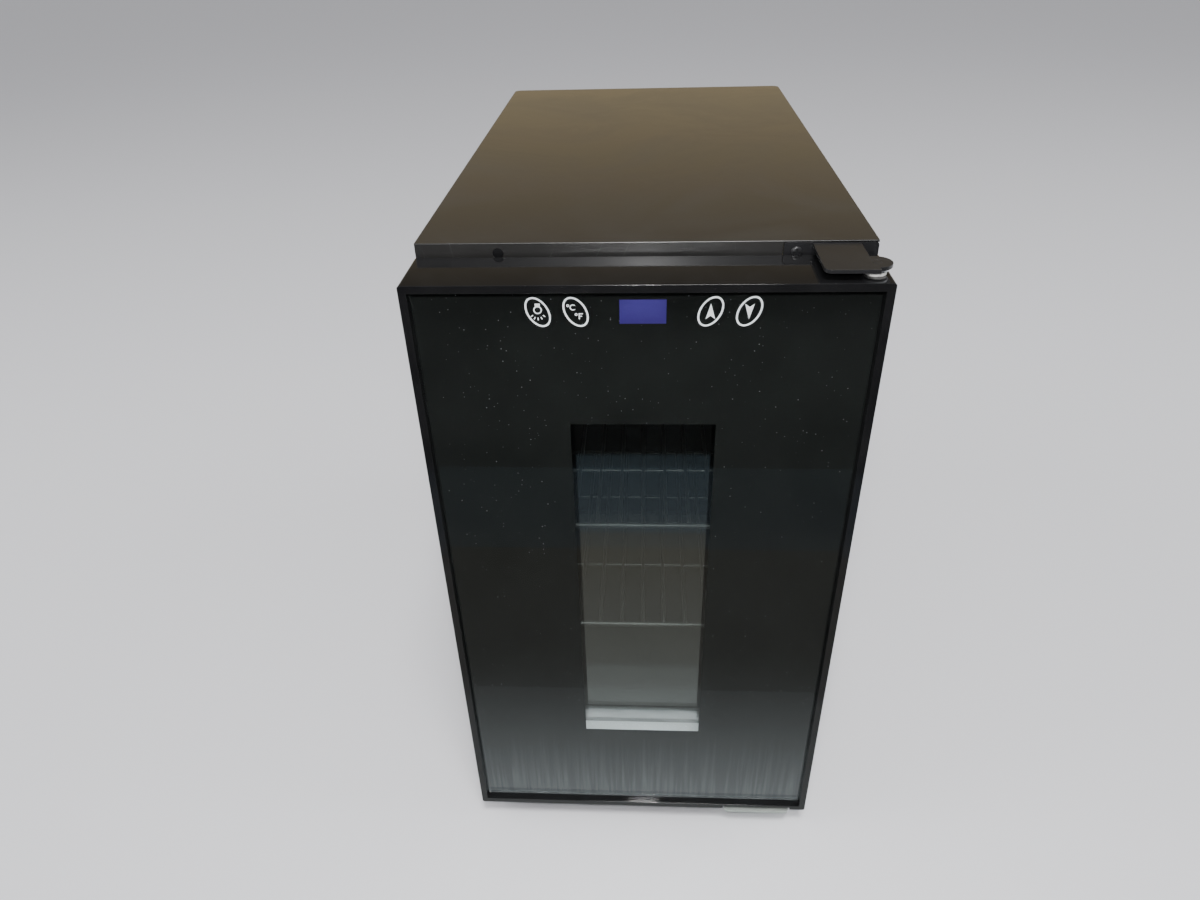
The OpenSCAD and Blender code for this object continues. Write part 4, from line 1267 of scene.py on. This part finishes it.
@dataclass
class Fan:
    """The rotor of one axial fan, with a turned hub and twisted blades.

    Attributes:
        node: The CAD rotor.
        body: The body that the rotor rides on.
        blades: How many blades it has.
        stations: Sections along a blade.
        tip_gap: How far the blades end inside the CAD rotor.
        root_sink: How far they start inside the hub.
        thickness: Half of a blade's thickness.
        cap_edge: Radius of the hub's front edge.
        cap_wall: Thickness of the hub's wall.
        cap_lip: Width of the chamfer on the hub's back edge.
    """

    shop: Workshop
    node: str
    body: Body
    blades: int = 7
    stations: int = 7
    tip_gap: float = 0.4 * MM
    root_sink: float = 1.0 * MM
    thickness: float = 0.55 * MM
    cap_edge: float = 1.2 * MM
    cap_wall: float = 1.6 * MM
    cap_lip: float = 0.4 * MM

    def build(self) -> None:
        """Builds and places the rotor."""
        span = Span.of(self.node)
        housing = Span.of(self.node.replace("rotor", "housing"))
        axis = Vector((0.0, span.mid.y, housing.mid.z))
        tip = min(span.size.x, span.size.z) / 2 - self.tip_gap
        hub = housing.size.x / 5
        half = span.size.y / 2
        blade = self.blade(hub - self.root_sink, tip, half * 0.92)
        finish = Finishes.ROTOR.build(self.shop.effects)
        ring = self.shop.recipes.ring.make(self.node + "_blades", finish, piece=blade, count=self.blades,
                                           middle=axis)
        bpy.data.objects.remove(blade)
        edge, inner = self.cap_edge, hub - self.cap_wall
        cap = [(0.0, -half), (hub - edge, -half)]
        cap += [(hub - edge + edge * math.sin(a), -half + edge - edge * math.cos(a))
                for a in (math.radians(d) for d in (22.5, 45, 67.5, 90))]
        cap += [(hub, half * 0.9), (hub - self.cap_lip, half), (inner, half), (inner, half * 0.4),
                (0.0, half * 0.4)]
        turned = lathed(self.node + "_hub", cap, axis, 56)
        rotor = merged(self.node.replace("rotor", "impeller"), [ring, turned])
        self.shop.place(rotor, self.body, Finishes.ROTOR, self.node)

    def blade(self, root: float, tip: float, half: float) -> Piece:
        """Lofts one blade along +X, with its pitch falling from root to tip.

        Args:
            root: Radius where it starts, inside the hub.
            tip: Radius where it ends.
            half: Half of the depth that it may take.

        Returns:
            The blade, about the origin.
        """
        shape = bmesh.new()
        rings = []
        for k in range(self.stations):
            share = k / (self.stations - 1)
            radius = root + (tip - root) * share
            pitch = math.radians(52 - 20 * share)
            chord = min(2 * half / math.sin(pitch), radius * 0.86)
            sweep = 0.22 * share * share
            ring = []
            for u, side in [(t, 1) for t in (0.0, 0.2, 0.5, 0.8)] + [(t, -1) for t in (1.0, 0.8, 0.5, 0.2)]:
                camber = 0.07 * chord * math.sin(math.pi * u)
                thick = self.thickness * math.sin(math.pi * min(0.97, max(0.06, u))) ** 0.5
                along, off = (u - 0.5) * chord, camber + side * thick
                across = along * math.cos(pitch) - off * math.sin(pitch)
                depth = max(-half, min(half, along * math.sin(pitch) + off * math.cos(pitch)))
                angle = sweep + across / radius
                ring.append(shape.verts.new((radius * math.cos(angle), depth, radius * math.sin(angle))))
            rings.append(ring)
        skin(shape, rings)
        shape.faces.new(rings[0])
        shape.faces.new(list(reversed(rings[-1])))
        bmesh.ops.recalc_face_normals(shape, faces=shape.faces)
        return finish_mesh("blade", shape, 50.0)


@dataclass
class Cooling:
    """Sinks, module, fans and rear guard.

    Attributes:
        screw: The guard's screw.
        screw_inset: Distance from the edge of the CAD screws' box to the middle of a screw.
        flange: Thickness of the guard's flange.
    """

    shop: Workshop
    screw: Screws = field(default_factory=Screws)
    screw_inset: float = 3.4 * MM
    flange: float = 2.0 * MM

    def build(self) -> None:
        """Builds and dresses the cooling unit."""
        self.shop.keep("module_gasket", Finishes.RUBBER)
        self.shop.soften(
            Body.CABINET,
            ("cold_fins", "cold_sink", Finishes.FINS, 0.15),
            ("hot_fins", "hot_sink", Finishes.FINS, 0.15),
            ("cold_bridge", "spacer_block", Finishes.FINS, 0.4),
            ("peltier_module", "thermoelectric_module", Finishes.CERAMIC, 0.2),
            ("clamp_bolts", "clamp_screws", Finishes.ZINC, 0.3),
            ("back_guard", "rear_guard", Finishes.FAN, 0.4),
            ("cold_fan_frame", "cold_fan_housing", Finishes.FAN, 0.3),
            ("hot_fan_frame", "hot_fan_housing", Finishes.FAN, 0.3),
        )
        Fan(self.shop, "cold_fan_rotor", Body.COLD_ROTOR).build()
        Fan(self.shop, "hot_fan_rotor", Body.HOT_ROTOR).build()
        self.guard_screws()

    def guard_screws(self) -> None:
        """Sets the guard's four screws as two rows."""
        span = Span.of("guard_screws")
        inset = self.screw_inset
        seat = Span.of("rear_panel").high.y + self.flange
        reach = span.size.x - 2 * inset
        rows = []
        for k, z in enumerate((span.low.z + inset, span.high.z - inset)):
            rows.append(self.shop.repeat(
                f"guard_screws_{k}", self.screw.build(f"guard_screw_{k}", 1.0), Finishes.ZINC, 2,
                Vector((span.low.x + inset, seat, z)), Vector((reach, 0.0, 0.0))))
        self.shop.place(merged("back_guard_screws", rows), Body.CABINET, Finishes.ZINC, "guard_screws")


@dataclass
class Electrics:
    """Power supply and mains inlet."""

    shop: Workshop

    def build(self) -> None:
        """Builds and dresses the electrics."""
        self.shop.keep("power_board", Finishes.BOARD)
        self.shop.soften(
            Body.CABINET,
            ("transformer_and_coils", "power_transformer", Finishes.TRANSFORMER, 0.6, 3),
            ("inlet_shell", "mains_inlet", Finishes.LINER, 0.4),
            ("inlet_blades", "inlet_pins", Finishes.ZINC, 0.3),
        )


# -------------------------------------------------------------------------------------------- studio


@dataclass
class Studio:
    """Floor, lamps, sky and camera. None of it belongs to the object.

    Attributes:
        eye: The camera's place from the middle of the door's lower front edge.
        yaw: Turn to the right, in degrees.
        pitch: Tilt upwards, in degrees.
        roll: Lean, in degrees.
        lens: Focal length on a 36 mm wide film, in millimetres.
        floor_half: Half of the floor's side.
        lift: Height of the floor's cards.
        card_reach: Half of the width of the floor's cards.
        wall_gap: Distance from the back of the cooler to the wall.
        wall_reach: Half of the width of the wall's cards.
        flash_rise: Height of the small lamp above the lens.
    """

    eye: Point = (0.002, -0.4005, 0.5989)
    yaw: float = -3.74
    pitch: float = -33.38
    roll: float = -1.79
    lens: float = 25.34
    floor_half: float = 12.0
    lift: float = 1.0 * MM
    card_reach: float = 3.0
    wall_gap: float = 0.32
    wall_reach: float = 0.5
    flash_rise: float = 0.05

    def build(self) -> None:
        """Sets up the floor, the lamps and the camera."""
        self.floor()
        self.reflections()
        self.lamps()
        self.camera()

    def floor(self) -> None:
        """Lays a pale floor under the feet."""
        shape = bmesh.new()
        bmesh.ops.create_grid(shape, x_segments=1, y_segments=1, size=self.floor_half)
        made = finish_mesh("floor", shape)
        material, shader = new_material("pale_floor")
        feed(material.node_tree, shader, {"Base Color": (0.80, 0.80, 0.83), "Roughness": 0.7})
        made.data.materials.append(material)

    def reflections(self) -> None:
        """Sets what the glass and the top mirror: a floor that darkens ahead, and a warm wall behind.

        These cards are seen in reflections and through glass only, and throw no light or shadow.
        """
        door = Span.of("door_frame")
        bands = (
            (0.0, 0.12, (0.66, 0.70, 0.70), (0.44, 0.46, 0.45)),
            (0.12, 0.32, (0.32, 0.32, 0.30), (0.25, 0.235, 0.20)),
            (0.32, 0.36, (0.23, 0.26, 0.28), (0.15, 0.18, 0.21)),
            (0.36, 0.48, (0.14, 0.17, 0.20), (0.10, 0.135, 0.165)),
            (0.48, 2.0, (0.02, 0.02, 0.02), (0.02, 0.02, 0.02)),
        )
        for k, (near, far, near_color, far_color) in enumerate(bands):
            corners = [(x * self.card_reach, door.low.y - y, self.lift)
                       for x, y in ((-1, far), (1, far), (1, near), (-1, near))]
            self.card(f"floor_card_{k}", corners, Axis.DEPTH, far_color, near_color)
        wall = Span.of("rear_guard").high.y + self.wall_gap
        for k, (low, high, low_color, high_color) in enumerate((
            (0.30, 0.46, (0.26, 0.21, 0.12), (0.80, 0.64, 0.37)),
            (0.46, 0.82, (0.80, 0.64, 0.37), (0.035, 0.03, 0.022)),
            (0.82, 1.90, (0.035, 0.03, 0.022), (0.03, 0.028, 0.025)),
        )):
            corners = [(x * self.wall_reach, wall, z)
                       for x, z in ((-1, low), (1, low), (1, high), (-1, high))]
            self.card(f"wall_card_{k}", corners, Axis.HEIGHT, low_color, high_color)

    def card(self, name: str, corners: Sequence[Point], axis: Axis, first: Color, last: Color) -> None:
        """Makes one flat card that only mirrors and glass see.

        Args:
            name: The card's name.
            corners: Its corners, in order.
            axis: The way its light changes.
            first: The light it shows at its lowest place along the axis.
            last: The light it shows at its highest.
        """
        shape = bmesh.new()
        shape.faces.new([shape.verts.new(corner) for corner in corners])
        made = finish_mesh(name, shape)
        material, shader = new_material(name)
        tree = material.node_tree
        along = add_node(tree, "ShaderNodeSeparateXYZ", {0: own_place(tree)}).outputs["XYZ"[axis.value]]
        reach = [corner[axis.value] for corner in corners]
        light = mix_colors(tree, spread(tree, along, min(reach), max(reach)), first, last)
        feed(tree, shader, {"Base Color": (0.0, 0.0, 0.0), "Specular IOR Level": 0.0, "Emission Color": light,
                            "Emission Strength": 1.0})
        made.data.materials.append(material)
        made.visible_camera = False
        made.visible_diffuse = False
        made.visible_shadow = False

    def lamps(self) -> None:
        """Hangs soft lamps round the object, a small one above the lens, and sets an even sky."""
        world = bpy.data.worlds.new("studio_sky")
        bpy.context.scene.world = world
        world.use_nodes = True
        sky = world.node_tree.nodes["Background"]
        feed(world.node_tree, sky, {"Color": (0.84, 0.84, 0.86), "Strength": 0.62})
        door = Span.of("door_frame")
        flash = (0.0, door.low.y + self.eye[1], door.low.z + self.eye[2] + self.flash_rise)
        for name, place, aim, size, power in (
            ("key_lamp", (0.1, -0.9, 2.2), (0.0, 0.0, 0.2), 0.5, 40.0),
            ("left_lamp", (-2.2, -0.4, 1.8), (0.0, 0.0, 0.2), 1.6, 22.0),
            ("right_lamp", (2.2, 0.2, 1.9), (0.0, 0.0, 0.2), 1.6, 20.0),
            ("lens_lamp", flash, door.mid, 0.04, 2.2),
        ):
            lamp = bpy.data.lights.new(name, "AREA")
            lamp.energy = power
            lamp.size = size
            made = bpy.data.objects.new(name, lamp)
            ray = Vector(aim) - Vector(place)
            made.rotation_euler = ray.to_track_quat("-Z", "Y").to_euler()
            made.location = place
            bpy.context.scene.collection.objects.link(made)

    def camera(self) -> None:
        """Sets the camera from its yaw, pitch and roll."""
        door = Span.of("door_frame")
        start = Vector((door.mid.x, door.low.y, door.low.z))
        yaw, pitch, roll = (math.radians(a) for a in (self.yaw, self.pitch, self.roll))
        ahead = Vector((math.sin(yaw) * math.cos(pitch), math.cos(yaw) * math.cos(pitch), math.sin(pitch)))
        side = Vector((math.cos(yaw), -math.sin(yaw), 0.0))
        over = side.cross(ahead)
        right = math.cos(roll) * side + math.sin(roll) * over
        up = -math.sin(roll) * side + math.cos(roll) * over
        data = bpy.data.cameras.new("camera")
        data.lens = self.lens
        data.clip_start = 0.01
        made = bpy.data.objects.new("camera", data)
        turn = Matrix((right, up, -ahead)).transposed().to_4x4()
        made.matrix_world = Matrix.Translation(start + Vector(self.eye)) @ turn
        bpy.context.scene.collection.objects.link(made)
        bpy.context.scene.camera = made


def main() -> None:
    """Builds the cooler round its frame, then the studio."""
    logging.basicConfig(level=logging.INFO, format="%(name)s: %(message)s")
    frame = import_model()
    shop = Workshop(frame)
    for assembly in (Cabinet(shop), Hinges(shop), Door(shop), Cavity(shop), Cooling(shop), Electrics(shop)):
        LOG.info("building %s", type(assembly).__name__)
        assembly.build()
    Studio().build()


if __name__ == "__main__":
    main()
